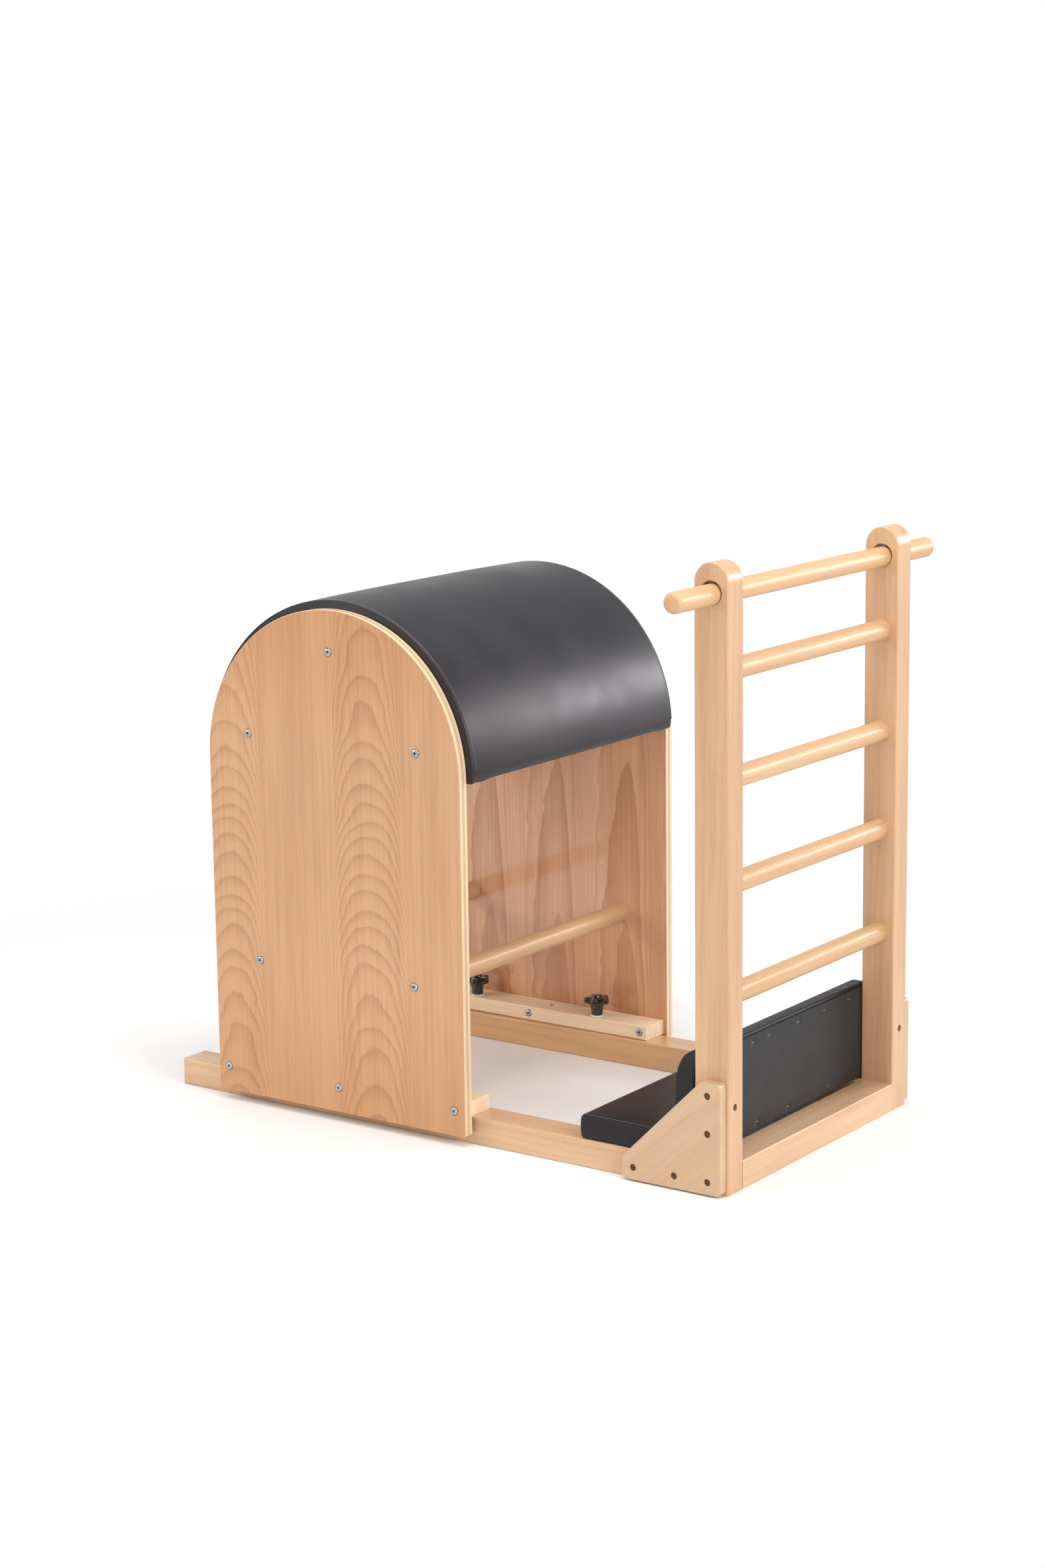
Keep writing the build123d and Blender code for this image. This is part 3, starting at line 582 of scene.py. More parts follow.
def stitch_row(tree, points, radius, closed=False):
    """Short threads lying on a surface along a line."""
    line = even(points, STITCH_PITCH, closed)
    vertices, faces = [], []
    for i, point in enumerate(line):
        where, normal, _, _ = tree.find_nearest(point)
        ahead = course(line, i, closed)
        ahead = (ahead - normal * ahead.dot(normal)).normalized()
        side = normal.cross(ahead)
        start = len(vertices)
        for step, wide, high in STITCH_RINGS:
            middle = where + ahead * (step * STITCH_LENGTH) + normal * (radius * high)
            for k in range(STITCH_SIDES):
                angle = 2 * pi * k / STITCH_SIDES
                vertices.append(middle + radius * wide * (cos(angle) * side + sin(angle) * normal))
        for ring in range(len(STITCH_RINGS) - 1):
            low = start + ring * STITCH_SIDES
            for k in range(STITCH_SIDES):
                a, b = low + k, low + (k + 1) % STITCH_SIDES
                faces.append((a, b, b + STITCH_SIDES, a + STITCH_SIDES))
        last = start + (len(STITCH_RINGS) - 1) * STITCH_SIDES
        faces.append(tuple(start + k for k in reversed(range(STITCH_SIDES))))
        faces.append(tuple(last + k for k in range(STITCH_SIDES)))
    return vertices, faces


# ---- padding ----
EDGE_TICKS = 4


def ticks(half, radius, step):
    """Grid positions from -half to half, close together in the rounded edges."""
    edge = [half - radius * (1 - i / EDGE_TICKS) for i in range(EDGE_TICKS + 1)]
    count = max(2, round(2 * (half - radius) / step))
    middle = [-(half - radius) + 2 * (half - radius) * i / count for i in range(1, count)]
    return [-v for v in reversed(edge)] + middle + edge


def soft_box(half, radius, step, place):
    """A box's skin with rounded edges, on a grid, put in position by place; unplaced points come third."""
    grid = [ticks(h, radius, s) for h, s in zip(half, step)]
    last = [len(line) - 1 for line in grid]
    index, vertices, faces, raw = {}, [], [], []

    def vertex(key):
        if key not in index:
            point = Vector([grid[axis][key[axis]] for axis in range(3)])
            core = Vector([max(-(h - radius), min(h - radius, v)) for h, v in zip(half, point)])
            out = (point - core).normalized() * radius
            index[key] = len(vertices)
            raw.append(core + out)
            vertices.append(place(core + out))
        return index[key]

    for axis in range(3):
        first, second = (axis + 1) % 3, (axis + 2) % 3
        for end in (0, last[axis]):
            for i in range(last[first]):
                for j in range(last[second]):
                    corners = []
                    for di, dj in ((0, 0), (1, 0), (1, 1), (0, 1)):
                        key = [0, 0, 0]
                        key[axis], key[first], key[second] = end, i + di, j + dj
                        corners.append(vertex(tuple(key)))
                    faces.append(tuple(corners if end else reversed(corners)))
    return vertices, faces, raw


def evened(moves, hold, edges, rounds):
    """The moves, averaged with their neighbours' a few times; held points keep still."""
    moves = numpy.array(moves)
    free = 1 - numpy.array(hold)[:, None]
    first, second = numpy.array(edges).T
    counts = 1 + numpy.bincount(first, minlength=len(moves)) + numpy.bincount(second, minlength=len(moves))
    for _ in range(rounds):
        sums = moves.copy()
        numpy.add.at(sums, first, moves[second])
        numpy.add.at(sums, second, moves[first])
        moves = sums / counts[:, None] * free
    return [Vector(move) for move in moves]


CLOTH_FRAMES = 20
CLOTH_SETTINGS = {"quality": 5, "mass": 0.3, "tension_stiffness": 18.0, "compression_stiffness": 18.0,
                  "shear_stiffness": 8.0, "bending_stiffness": 0.6, "use_pressure": True}


def inflate(obj, hold, cap, pressure, slack, rounds):
    """Blows a pad's cover up with a cloth simulation; no point ends further than cap from its start."""
    start = [v.co.copy() for v in obj.data.vertices]
    group = obj.vertex_groups.new(name="held")
    for i, weight in enumerate(hold):
        if weight > 0:
            group.add([i], weight, "REPLACE")
    modifier = obj.modifiers.new("Cloth", "CLOTH")
    settings = modifier.settings
    for name, value in CLOTH_SETTINGS.items():
        setattr(settings, name, value)
    settings.uniform_pressure_force = pressure
    settings.vertex_group_mass = "held"
    settings.shrink_min = -slack
    settings.effector_weights.gravity = 0.0
    modifier.collision_settings.use_collision = False
    modifier.collision_settings.use_self_collision = False
    scene = bpy.context.scene
    for number in range(1, CLOTH_FRAMES + 1):
        scene.frame_set(number)
    shaped = obj.evaluated_get(bpy.context.evaluated_depsgraph_get())
    ends = [v.co.copy() for v in shaped.data.vertices]
    obj.modifiers.remove(modifier)
    obj.vertex_groups.clear()
    scene.frame_set(1)
    edges = [tuple(edge.vertices) for edge in obj.data.edges]
    moves = evened([b - a for a, b in zip(start, ends)], hold, edges, rounds)
    for vertex, a, move in zip(obj.data.vertices, start, moves):
        if move.length > cap:
            move *= cap / move.length
        vertex.co = a + move
    obj.data.update()


def smooth_more(obj):
    modifier = obj.modifiers.new("Smooth", "SUBSURF")
    modifier.levels = modifier.render_levels = 1


def make_pad(name, skin, material, body, hold, swell, nodes, finish=None):
    """A soft_box skin as a closed pad, blown up in place of CAD nodes; gives back its surface for seams."""
    vertices, faces, raw = skin
    pad = piece(name, vertices, faces, material, body, "black_leather")
    inflate(pad, [hold(point) for point in raw], *swell)
    if finish:
        finish(pad, raw)
    smooth_more(pad)
    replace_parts(pad, *nodes)
    return surface_tree(pad)


# cap, pressure, slack, rounds of averaging
ARCH_SWELL = (0.004, 2.5, 0.0, 24)
FOOT_SWELL = (0.005, 4.0, 0.002, 10)
BACK_SWELL = (0.004, 3.0, 0.002, 10)
SEAM_BAND = 0.004
BOARD_BAND = 0.003
BEAD_STEP = 0.004

arch_low, arch_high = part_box("arch_cover")
shell_low, shell_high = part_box("arch_shell")
ARCH_X = (arch_low.x + arch_high.x) / 2
ARCH_Z = arch_low.z
ARCH_OUTER = (arch_high.x - arch_low.x) / 2
ARCH_INNER = (shell_high.x - shell_low.x) / 2 + 0.0003
ARCH_HALF_Y = arch_high.y
ARCH_CROWN = 0.0028
ARCH_ROUND = 0.0035
ARCH_MID = (ARCH_OUTER + ARCH_INNER) / 2
ARCH_FLAT = (ARCH_OUTER * pi / 2, ARCH_HALF_Y - 0.0004, (ARCH_OUTER - ARCH_INNER) / 2)


def arch_place(point):
    """Bends the flat pad round the half circle: local x is the arc, local z the radius."""
    angle = pi / 2 - point.x / ARCH_OUTER
    share = point.y / ARCH_HALF_Y
    depth = (point.z + (ARCH_OUTER - ARCH_INNER) / 2) / (ARCH_OUTER - ARCH_INNER)
    radius = ARCH_MID + point.z + ARCH_CROWN * (1 - abs(share) ** 3) * depth
    y = point.y * (1 - 0.0018 * max(0.0, 1 - depth * 1.2))
    return Vector((ARCH_X + radius * cos(angle), y, ARCH_Z + radius * sin(angle)))


ARCH_END_HELD = 0.006
ARCH_GATHER = 0.018
ARCH_ROLL = 0.014


def shape_arch_feet(pad, raw):
    """Gathers, puckers and rolls the leather where the arch pad ends."""
    half = ARCH_FLAT
    for vertex, point in zip(pad.data.vertices, raw):
        end_gap = half[0] - abs(point.x)
        near = max(0.0, 1 - end_gap / ARCH_GATHER)
        if near > 0:
            side_gap = half[1] - abs(point.y)
            gather = max(0.0, min(1.0, (0.056 - side_gap) / 0.01))
            pucker = noise.noise(Vector((point.y * 75.0, 3.0 if point.x > 0 else 9.0, 0.0)))
            vertex.co.z -= near * (0.0026 * gather + 0.0028 * pucker * (0.12 + gather))
            roll = 0.0045 * max(0.0, 1 - end_gap / ARCH_ROLL) ** 2
            if point.z > 0:
                vertex.co.x -= roll if point.x > 0 else -roll


def arch_hold(point):
    end_gap = ARCH_FLAT[0] - abs(point.x)
    side_gap = ARCH_FLAT[1] - abs(point.y)
    inner = point.z < -ARCH_FLAT[2] + SEAM_BAND
    seam = side_gap < SEAM_BAND
    return 1.0 if inner else 0.93 if seam else 0.4 if end_gap < ARCH_END_HELD else 0.0


ARCH_STEP = 0.006


def arch_line(side, inset, radius, gap, spread=0.0):
    """Points along the arch near one end, further in by spread at the feet, where a gap is left free."""
    reach = pi / 2 - gap / ARCH_OUTER
    count = round(2 * reach * ARCH_OUTER / ARCH_STEP)
    line = []
    for i in range(count + 1):
        angle = pi / 2 - reach + 2 * reach * i / count
        y = ARCH_HALF_Y - inset - spread * abs(2 * i / count - 1) ** 5
        line.append(Vector((ARCH_X + radius * cos(angle), side * y, ARCH_Z + radius * sin(angle))))
    return line


arch_skin = soft_box(ARCH_FLAT, ARCH_ROUND, (0.0095, 0.0095, 0.011), arch_place)
arch_tree = make_pad("arch_pad", arch_skin, hide, "barrel", arch_hold, ARCH_SWELL,
                     ("arch_cover", "arch_foam"), shape_arch_feet)
for side_name, side in SIDES:
    rough = arch_line(side, 0.0004, ARCH_OUTER - 0.0006, 0.016)
    bead = []
    for point in rough:
        where = arch_tree.find_nearest(point + Vector((0, side * 0.004, 0)))[0]
        bead.append(where.lerp(point, 0.5))
    piece("arch_welt_" + side_name, *sweep(bead, 0.0011), hide, "barrel", "black_leather")
    inner = arch_line(side, 0.0046, ARCH_OUTER + 0.002, 0.024, spread=0.006)
    piece("arch_stitches_" + side_name, *stitch_row(arch_tree, inner, 0.00042),
          thread_grey, "barrel", "black_leather")


def ring_line(half_x, half_y, corner, z, centre):
    """A rounded rectangle seen from above."""
    line = []
    for sx, sy, start in ((1, 1, 0), (-1, 1, 90), (-1, -1, 180), (1, -1, 270)):
        for i in range(9):
            angle = radians(start + 90 * i / 8)
            line.append(Vector((sx * (half_x - corner) + corner * cos(angle),
                                sy * (half_y - corner) + corner * sin(angle), z)) + centre)
    return even(line, BEAD_STEP, closed=True)


def make_foot_pad():
    """A cushion with a flat underside, a crowned top and a stitched seam round it."""
    low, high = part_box("foot_pad_cover")
    centre, half = (low + high) / 2, (high - low) / 2
    half = Vector((half.x - 0.0005, half.y - 0.001, half.z - 0.0005))

    def place(point):
        share_x, share_y, up = point.x / half.x, point.y / half.y, point.z / half.z
        top = max(0.0, up)
        crown = 0.0035 * (1 - share_x ** 4) * (1 - share_y ** 6) * top
        pull = 0.0015 * (1 - up * up)
        x = point.x + (pull if point.x > 0 else -pull) * abs(share_x) ** 8
        y = point.y + (pull if point.y > 0 else -pull) * abs(share_y) ** 8
        return centre + Vector((x, y, point.z + crown - 0.002 * top))

    def hold(point):
        floor_gap = point.z + half.z
        edge = min(half.x - abs(point.x), half.y - abs(point.y))
        rim = edge < SEAM_BAND and point.z > half.z - SEAM_BAND
        return 1.0 if floor_gap < BOARD_BAND else 0.85 if rim else 0.0

    skin = soft_box(half, 0.0065, (0.0085, 0.0085, 0.0085), place)
    tree = make_pad("foot_pad", skin, hide_pads_shaded, "base", hold, FOOT_SWELL,
                    ("foot_pad_cover", "foot_pad_foam", "foot_pad_board"))
    top = centre.z + half.z
    rough = ring_line(half.x - 0.0012, half.y - 0.0012, 0.007, top - 0.0022, Vector((centre.x, centre.y, 0)))
    bead = [tree.find_nearest(point)[0] for point in rough]
    piece("foot_pad_welt", *sweep(bead, 0.0009, closed=True), hide_pads_shaded, "base", "black_leather")
    inner = ring_line(half.x - 0.005, half.y - 0.005, 0.006, top + 0.002, Vector((centre.x, centre.y, 0)))
    piece("foot_pad_stitches", *stitch_row(tree, inner, 0.0004, closed=True),
          thread_grey, "base", "black_leather")


make_foot_pad()

CLOTH_TOP = 0.2325
CLOTH_FOOT = 0.0565
CLOTH_HALF_Y = 0.314
STAPLES_TOP = (-0.262, -0.196, -0.125, -0.067, 0.035, 0.131, 0.221, 0.282)
STAPLES_FOOT = (-0.285, -0.204, -0.111, -0.001, 0.149, 0.246, 0.29)
END_ROUND = 0.040
FRONT_ROUND = 0.016
ROUND_DEPTH = 0.08


def round_drop(gap, radius):
    """How far a circle of this radius has fallen, this near its side."""
    away = max(0.0, min(radius, radius - gap))
    return radius - (radius * radius - away * away) ** 0.5


def make_back_pad():
    """A cushion with a flat rear, a crowned front and round top corners; gives back its rear plane."""
    low, high = box_round([*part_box("back_pad_cover"), *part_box("back_pad_cloth")])
    centre, half = (low + high) / 2, (high - low) / 2
    back = high.x - 0.0014
    centre.x = (low.x + back) / 2
    half = Vector((back - centre.x, half.y - 0.001, half.z - 0.001))

    def place(point):
        share_y, share_z, front = point.y / half.y, point.z / half.z, -point.x / half.x
        crown = 0.003 * (1 - share_z ** 4) * (1 - share_y ** 6) * max(0.0, front)
        end_drop = round_drop(half.y - abs(point.y), END_ROUND)
        front_drop = round_drop(point.x + half.x, FRONT_ROUND)
        drop = (end_drop ** 3 + front_drop ** 3) ** (1 / 3)
        share = max(0.0, 1 - (half.z - point.z) / ROUND_DEPTH)
        lean = 0.004 * max(0.0, share_z) ** 2 * max(0.0, front)
        x = point.x - crown + lean + 0.001 * max(0.0, front)
        return centre + Vector((x, point.y, point.z - drop * share))

    def hold(point):
        flat_back = point.x > half.x - BOARD_BAND
        rim = abs(point.z) > half.z - BOARD_BAND
        return 1.0 if flat_back else 0.8 if rim else 0.0

    skin = soft_box(half, 0.005, (0.0085, 0.0075, 0.0065), place)
    tree = make_pad("back_pad", skin, hide_pads_shaded, "base", hold, BACK_SWELL,
                    ("back_pad_cover", "back_pad_foam", "back_pad_board"))
    for side_name, side in SIDES:
        line = []
        for i in range(60):
            z = low.z + 0.004 + (high.z - low.z - END_ROUND) * i / 59
            line.append(tree.find_nearest(Vector((low.x + 0.002, side * (high.y - 0.0012), z)))[0])
        piece("back_pad_welt_" + side_name, *sweep(even(line, BEAD_STEP), 0.0009, 6),
              hide_pads_shaded, "base", "black_leather")
    return back


back_plane = make_back_pad()
CLOTH_GRID = (158, 46)
CLOTH_SWELL = 0.0026
CLOTH_WAVE = 0.0005
CLOTH_FREE_Y = 0.266
STAPLE_PULL = 0.0026
STAPLE_REACH = 0.0095
STAPLE_HALF = 0.005
STAPLE_WIRE = 0.00055
STAPLES_SHOWN_Y = 0.25
STAPLE_ROWS = ((CLOTH_TOP - 0.0135, STAPLES_TOP), (CLOTH_FOOT + 0.0125, STAPLES_FOOT))
STAPLES = [(y, z) for z, line in STAPLE_ROWS for y in line]


def make_staples(cloth):
    """A staple wherever the posts don't hide it, each turned a little its own way."""
    tree = surface_tree(cloth)
    legs = [Vector((-0.0008, side * (STAPLE_HALF + 0.0002), 0)) for side in (-1, 1)]
    crown = [legs[0], Vector((0, -STAPLE_HALF, 0)), Vector((0, STAPLE_HALF, 0)), legs[1]]
    frames = []
    for number, (y, z) in enumerate(STAPLES):
        if abs(y) > STAPLES_SHOWN_Y:
            continue
        where = tree.find_nearest(Vector((back_plane, y, z)))[0]
        turn = Matrix.Rotation(radians(9 * noise.noise(Vector((number * 3.7, 0.5, 0.5)))), 4, "X")
        frames.append(Matrix.Translation(where + Vector((0.0006, 0, 0))) @ turn)
    piece("back_staples", *copies(sweep(crown, STAPLE_WIRE, 6), frames), chrome, "base", "zinc_steel")


def make_back_cloth():
    """The cloth that closes the back pad's rear, pulled in a little at every staple."""
    columns, rows = CLOTH_GRID
    vertices, area = [], 0.0
    across = [CLOTH_HALF_Y * (2 * i / columns - 1) for i in range(columns + 1)]
    tops = [CLOTH_TOP - round_drop(CLOTH_HALF_Y - abs(y), END_ROUND - 0.006) for y in across]
    for i, top in enumerate(tops):
        area += (top - CLOTH_FOOT) * 2 * CLOTH_HALF_Y / columns * (0.5 if i in (0, columns) else 1.0)
    for j in range(rows + 1):
        for y, top in zip(across, tops):
            z = CLOTH_FOOT + (top - CLOTH_FOOT) * j / rows
            edge = min(j, rows - j) / rows
            free = max(0.0, min(1.0, (CLOTH_FREE_Y - abs(y)) / 0.02))
            swell = CLOTH_SWELL * min(1.0, edge * 7) * free
            wave = CLOTH_WAVE * noise.noise(Vector((y * 34.0, z * 52.0, 2.0))) * free
            pull = 0.0
            for spot_y, spot_z in STAPLES:
                gap = hypot((y - spot_y) / 1.5, z - spot_z)
                pull = max(pull, 1 - gap / STAPLE_REACH)
            depth = swell + wave - STAPLE_PULL * max(0.0, pull) ** 1.3 * free
            vertices.append(Vector((back_plane + 0.0009 + depth, y, z)))
    cloth = piece("back_cloth", vertices, grid_faces(columns, rows), cloth_black, "base", "black_cloth")
    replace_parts(cloth, "back_pad_cloth")
    make_staples(cloth)
    rim = [Vector((back_plane + 0.0011, y, top - 0.0003)) for y, top in zip(across, tops)]
    piece("back_cloth_fold", *sweep(even(rim, BEAD_STEP), 0.0007, 6), cloth_black, "base", "black_cloth")


make_back_cloth()


# ---- hardware ----
def islands(name):
    """Boxes of a CAD node's separate solids."""
    mesh = bmesh.new()
    mesh.from_mesh(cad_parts[name].data)
    bmesh.ops.remove_doubles(mesh, verts=mesh.verts, dist=1e-6)
    left, found = set(mesh.verts), []
    while left:
        queue, part = [left.pop()], []
        while queue:
            vertex = queue.pop()
            part.append(vertex.co.copy())
            for edge in vertex.link_edges:
                other = edge.other_vert(vertex)
                if other in left:
                    left.discard(other)
                    queue.append(other)
        found.append(box_round(part))
    mesh.free()
    return sorted(found, key=lambda pair: tuple(pair[0]))


def facing(position, direction):
    return Matrix.Translation(position) @ direction.to_track_quat("Z", "Y").to_matrix().to_4x4()


def seats(name, direction, depth):
    """Where the heads of a node's bolts sit, facing along Y or X, and a head's radius."""
    axis = 1 if direction.y else 0
    forward, frames = direction[axis], []
    for low, high in islands(name):
        middle = Vector([(a + b) / 2 for a, b in zip(low, high)])
        middle[axis] = (high if forward > 0 else low)[axis] - forward * depth
        frames.append(facing(middle, direction))
        radius = (high.z - low.z) / 2
    return frames, radius


HEAD_FACETS = 36
SCREW_FACETS = 32
WASHER_FACETS = 48
KNOB_FACETS = 100


def hexagon(across):
    def radius(angle):
        part = (angle + pi / 6) % (pi / 3) - pi / 6
        return across / 2 / cos(part)
    return radius


def cross_recess(arm, waist):
    return lambda angle: waist + (arm - waist) * abs(cos(2 * angle)) ** 6


def socket_head(radius, height, socket):
    r = radius
    levels = [(r, 0.0), (r, 0.18 * height), (0.965 * r, 0.38 * height), (0.87 * r, 0.66 * height),
              (0.72 * r, 0.88 * height), (0.56 * r, 0.985 * height), (0.47 * r, height),
              (hexagon(1.06 * socket), height), (hexagon(socket), 0.93 * height),
              (hexagon(socket), 0.3 * height), (0.1 * r, 0.22 * height)]
    return turned(levels, HEAD_FACETS)


def painted_socket_shade(height, socket):
    """Painted shade: a dark disc at the bottom of a hexagon socket."""
    low, high, outline = 0.32 * height, 0.4 * height, hexagon(0.97 * socket)
    return turned([(outline, low), (outline, high), (0.1 * socket, high)], HEAD_FACETS)


def painted_shadow_ring(radius):
    """Painted shadow: a dark ring round the hole that a bolt head sits in."""
    levels = [(1.09 * radius, 0.0), (1.07 * radius, 0.22 * MM), (0.98 * radius, 0.24 * MM)]
    return turned(levels, HEAD_FACETS)


BOLT_HEIGHT = 3.0 * MM
BOLT_SOCKET = 5.0 * MM
SLEEVE_HEIGHT = 2.0 * MM
SLEEVE_SOCKET = 4.6 * MM


def add_bolts(node, stem, side_name, direction, height, socket):
    """Bright socket heads in place of a CAD node, with painted shade in their sockets and a painted shadow
    ring round each head.
    """
    frames, radius = seats(node, direction, height)
    parts = (("heads_", socket_head(radius, height, socket), chrome),
             ("socket_shades_", painted_socket_shade(height, socket), painted_shade_metal),
             ("shadow_rings_", painted_shadow_ring(radius), painted_shade_metal))
    for part, shape, material in parts:
        made = piece(stem + part + side_name, *copies(shape, frames), material, "barrel", "bright_bolt")
        if part == "heads_":
            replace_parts(made, node)


for side_name, side in SIDES:
    outward = Vector((0, side, 0))
    for kind in ("cross_bolts_", "block_bolts_"):
        add_bolts(kind + side_name, kind, side_name, outward, BOLT_HEIGHT, BOLT_SOCKET)
    add_bolts("sleeve_nuts_" + side_name, "sleeve_", side_name, -outward, SLEEVE_HEIGHT, SLEEVE_SOCKET)

SCREW_DEPTH = 1.0 * MM
POST_SCREW_TURN = 0.5


def screw_heads(name, frames, radius):
    """Dark cross-recessed heads with a sunk cone below."""
    r = radius
    levels = [(0.5 * r, -1.6 * MM), (0.96 * r, -0.4 * MM), (r, 0.0), (0.93 * r, 0.35 * MM),
              (0.7 * r, 0.75 * MM), (0.56 * r, 0.85 * MM), (cross_recess(0.5 * r, 0.2 * r), 0.86 * MM),
              (cross_recess(0.42 * r, 0.15 * r), -0.5 * MM), (0.04 * r, -1.0 * MM)]
    shape = turned(levels, SCREW_FACETS)
    return piece(name, *copies(shape, frames), bronze, "base", "dark_screw")


for side_name, side in SIDES:
    node = "gusset_screws_" + side_name
    frames, radius = seats(node, Vector((0, side, 0)), SCREW_DEPTH)
    turns = [Matrix.Rotation(noise.noise(seat.translation * 90.0) * pi, 4, "Z") for seat in frames]
    frames = [seat @ turn for seat, turn in zip(frames, turns)]
    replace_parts(screw_heads("gusset_screw_heads_" + side_name, frames, radius), node)
frames, radius = seats("back_pad_screws", Vector((1, 0, 0)), SCREW_DEPTH)
frames = [seat @ Matrix.Rotation(POST_SCREW_TURN, 4, "Z") for seat in frames]
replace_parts(screw_heads("post_screw_heads", frames, radius), "back_pad_screws")

# Painted shade: a dark cup set into each block's peg hole, for the shade inside the hole.
PEG_HOLE_X = -0.174
PEG_HOLE_RADIUS = 3.9 * MM
PEG_HOLE_DEPTH = 17.0 * MM
for side_name, _ in SIDES:
    low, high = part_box("block_" + side_name)
    r, depth = PEG_HOLE_RADIUS, PEG_HOLE_DEPTH
    levels = [(r, -depth), (r, -0.15 * MM), (0.86 * r, -0.25 * MM), (0.86 * r, -0.95 * depth),
              (0.1 * r, -0.95 * depth)]
    shape = standing(levels, SCREW_FACETS, PEG_HOLE_X, (low.y + high.y) / 2, high.z)
    piece("peg_hole_shade_" + side_name, *shape, painted_shade_metal, "barrel", "dark_screw")

LOBES = 5
KNOB_FOOT = ((9.8, 0.0), (11.2, 0.7))
KNOB_LOBES = ((11.3, 0.5, 1.6), (11.2, 1.0, 10.0), (11.3, 1.9, 17.0), (12.0, 4.2, 21.0), (13.2, 8.6, 23.2),
              (14.2, 10.8, 24.3), (14.9, 11.6, 25.6), (15.1, 11.7, 27.2), (15.1, 11.6, 32.4),
              (14.7, 11.2, 34.4), (13.9, 10.3, 35.5), (12.6, 8.2, 36.0), (10.9, 2.0, 36.15))
KNOB_CAP = ((9.9, 36.3), (9.4, 37.0), (9.2, 39.3), (8.7, 40.2), (7.8, 40.5), (4.0, 40.5))
WASHER_BORE = 4.6 * MM


def lobed(base, reach):
    """The outline of a star knob: broad rounded lobes with scallops between them."""
    def radius(angle):
        wave = 0.5 + 0.5 * cos(LOBES * angle)
        return (base + reach * wave ** 0.62) * MM
    return radius


def make_knob(clamp):
    """A star knob and its washer, each in place of its CAD node and riding on its own body."""
    name = "knob_" + clamp
    low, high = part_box(name)
    middle = (low + high) / 2
    levels = [(radius * MM, height * MM) for radius, height in KNOB_FOOT]
    levels += [(lobed(base, reach), height * MM) for base, reach, height in KNOB_LOBES]
    levels += [(radius * MM, height * MM) for radius, height in KNOB_CAP]
    knob = piece("star_" + name, *standing(levels, KNOB_FACETS, middle.x, middle.y, low.z),
                 plastic, "clamp_" + name, "knob_plastic")
    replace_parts(knob, name)
    washer_name = "washer_" + clamp
    low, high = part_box(washer_name)
    thick = high.z - low.z
    edge = (high.x - low.x) / 2
    levels = [(edge - 0.5 * MM, 0.0), (edge, 0.5 * MM), (edge, thick - 0.6 * MM), (edge - 0.7 * MM, thick),
              (WASHER_BORE, thick), (WASHER_BORE, thick - 0.2 * MM)]
    washer = piece("ring_" + washer_name, *standing(levels, WASHER_FACETS, middle.x, middle.y, low.z),
                   nylon, "clamp_" + washer_name, "washer_plastic")
    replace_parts(washer, washer_name)


for clamp in CLAMPS:
    make_knob(clamp)


# ---- stage ----
FLOOR_CELLS = 24
FLOOR_SIZE = 9.0
FLOOR_FADE = (1.0, 2.1)


def make_stage():
    """A pale floor that fades out into the white room."""
    count = FLOOR_CELLS
    line = [FLOOR_SIZE * (i / count - 0.5) for i in range(count + 1)]
    vertices = [Vector((x, y, 0.0)) for y in line for x in line]
    mesh = bpy.data.meshes.new("floor")
    mesh.from_pydata(vertices, [], grid_faces(count, count))
    floor = holder(mesh)
    graph = Graph("floor_pale", Specular_IOR_Level=0.2)
    soft = graph.noise(graph.place, 1.5, 2.0)
    colour = graph.mix(graph.spread(soft), (0.9, 0.895, 0.89), (0.92, 0.915, 0.91))
    away = graph.node("VectorMath", {0: graph.place}, operation="LENGTH").outputs["Value"]
    graph.feed(graph.shader.inputs["Alpha"], graph.span(away, *FLOOR_FADE, 1.0, 0.0))
    mesh.materials.append(graph.finish(colour, graph.spread(soft, 0.6, 0.7)))


def area_light(name, position, target, width, height, power):
    data = bpy.data.lights.new(name, "AREA")
    data.shape = "RECTANGLE"
    data.size, data.size_y = width, height
    data.energy = power
    lamp = holder(data)
    lamp.location = position
    lamp.rotation_mode = "QUATERNION"
    lamp.rotation_quaternion = (Vector(target) - Vector(position)).to_track_quat("-Z", "Y")


SKY_STOPS = ((0.0, 0.75), (0.45, 0.75), (0.49, 0.9), (0.53, 1.15), (0.6, 1.05), (0.67, 0.85), (0.75, 0.45),
             (1.0, 0.55))


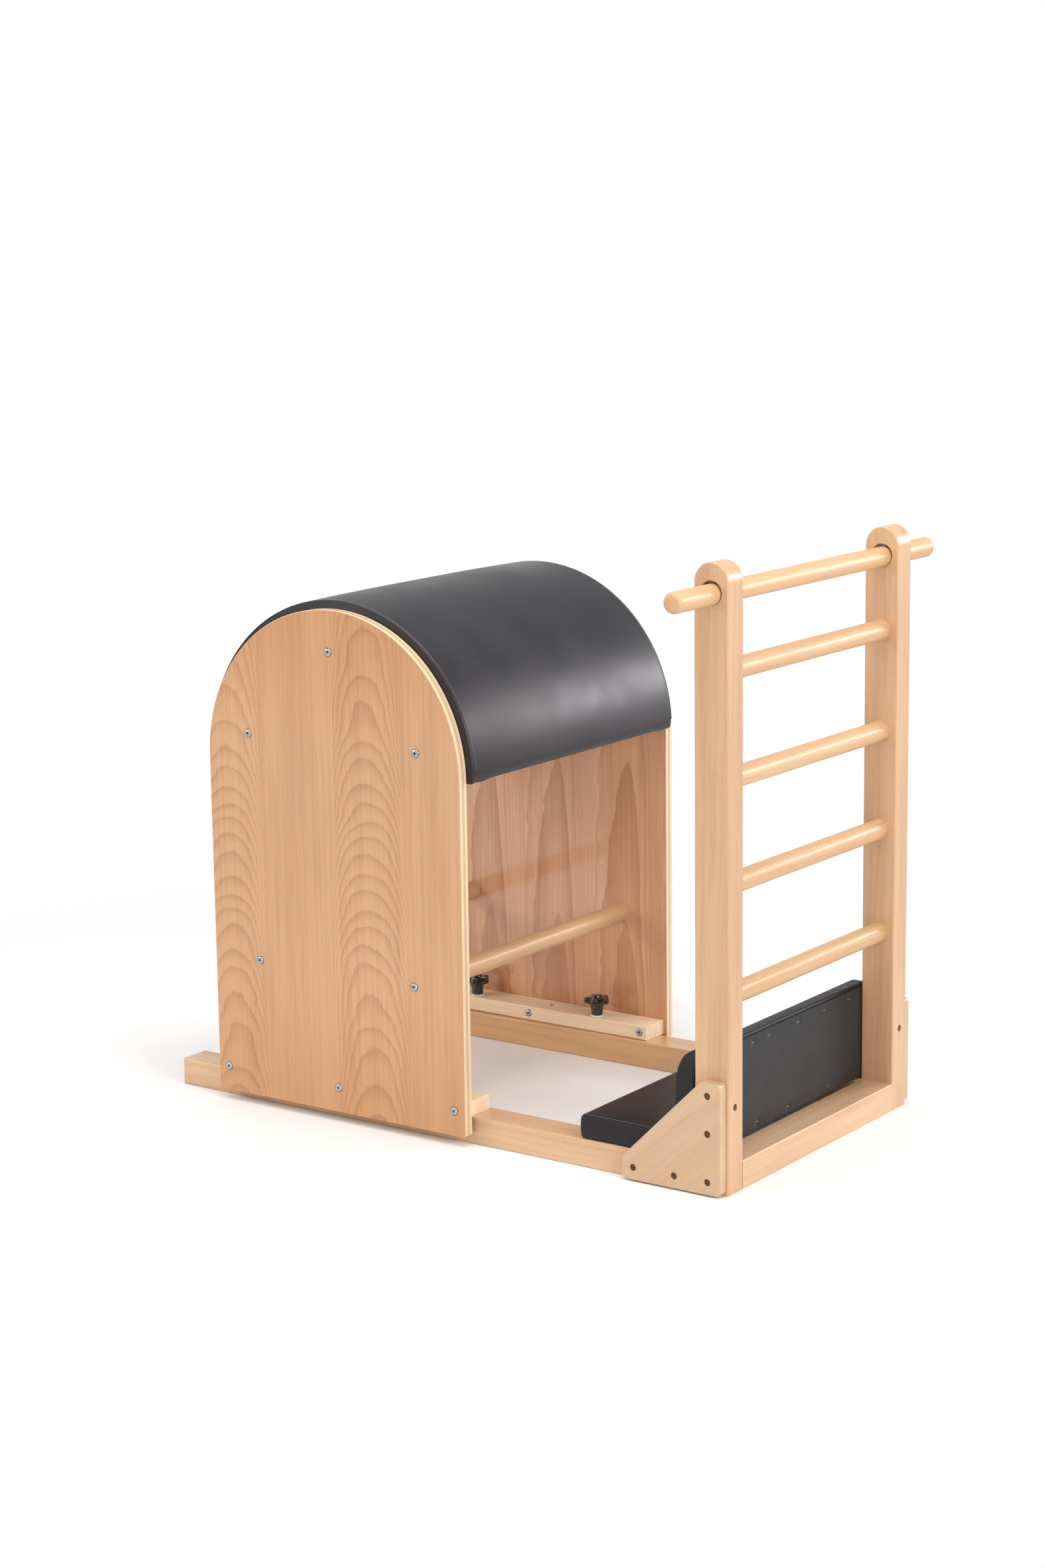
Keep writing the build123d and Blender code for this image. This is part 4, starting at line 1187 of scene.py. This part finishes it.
def make_world():
    """A white room to the camera; for light and reflections, a pale wall band under a dim ceiling."""
    world = bpy.data.worlds.new("studio")
    bpy.context.scene.world = world
    world.use_nodes = True
    tree = world.node_tree
    nodes, links = tree.nodes, tree.links
    coordinates = nodes.new("ShaderNodeTexCoord")
    parts = nodes.new("ShaderNodeSeparateXYZ")
    ramp = nodes.new("ShaderNodeValToRGB")
    links.new(coordinates.outputs["Generated"], parts.inputs[0])
    shift = nodes.new("ShaderNodeMapRange")
    shift.inputs["From Min"].default_value = -1.0
    links.new(parts.outputs["Z"], shift.inputs["Value"])
    links.new(shift.outputs[0], ramp.inputs[0])
    while len(ramp.color_ramp.elements) < len(SKY_STOPS):
        ramp.color_ramp.elements.new(0.5)
    for element, (position, level) in zip(ramp.color_ramp.elements, SKY_STOPS):
        element.position = position
        element.color = (level, level, level, 1.0)
    rays = nodes.new("ShaderNodeLightPath")
    mix = nodes.new("ShaderNodeMix")
    mix.data_type = "RGBA"
    links.new(rays.outputs["Is Camera Ray"], mix.inputs[0])
    links.new(ramp.outputs[0], mix.inputs[6])
    mix.inputs[7].default_value = (1.0, 1.0, 1.0, 1.0)
    links.new(mix.outputs[2], nodes["Background"].inputs["Color"])


LAMPS = (("key", (-2.8, -2.3, 2.0), (-0.2, 0.0, 0.6), 1.2, 1.2, 38.0),
         ("side", (2.1, 3.0, 1.55), (0.2, 0.0, 0.55), 1.7, 0.7, 46.0),
         ("right", (4.1, -1.5, 2.1), (0.1, 0.0, 0.6), 1.8, 1.6, 84.0),
         ("top", (0.2, -0.4, 3.1), (0.0, 0.0, 0.0), 2.6, 2.6, 60.0))


def make_light():
    make_world()
    for lamp in LAMPS:
        area_light(*lamp)
    bpy.context.scene.view_settings.view_transform = "Standard"


CAMERA_PLACE = (3.2616, -4.6381, 1.7388)
CAMERA_TURN = 0.61696
CAMERA_PITCH = 0.19681
CAMERA_ROLL = -0.01325
CAMERA_LENS = 70.37
CAMERA_SENSOR = 36.0


def make_camera():
    """The photograph's viewpoint."""
    level = cos(CAMERA_PITCH)
    forward = Vector((-sin(CAMERA_TURN) * level, cos(CAMERA_TURN) * level, -sin(CAMERA_PITCH)))
    right = forward.cross(Vector((0, 0, 1))).normalized()
    up = right.cross(forward)
    across = cos(CAMERA_ROLL) * right + sin(CAMERA_ROLL) * up
    upward = cos(CAMERA_ROLL) * up - sin(CAMERA_ROLL) * right
    data = bpy.data.cameras.new("camera")
    data.lens = CAMERA_LENS
    data.sensor_width = CAMERA_SENSOR
    camera = holder(data)
    turn = Matrix((across, upward, -forward)).transposed()
    camera.matrix_world = Matrix.Translation(Vector(CAMERA_PLACE)) @ turn.to_4x4()
    bpy.context.scene.camera = camera


make_stage()
make_light()
make_camera()

bpy.context.view_layer.update()
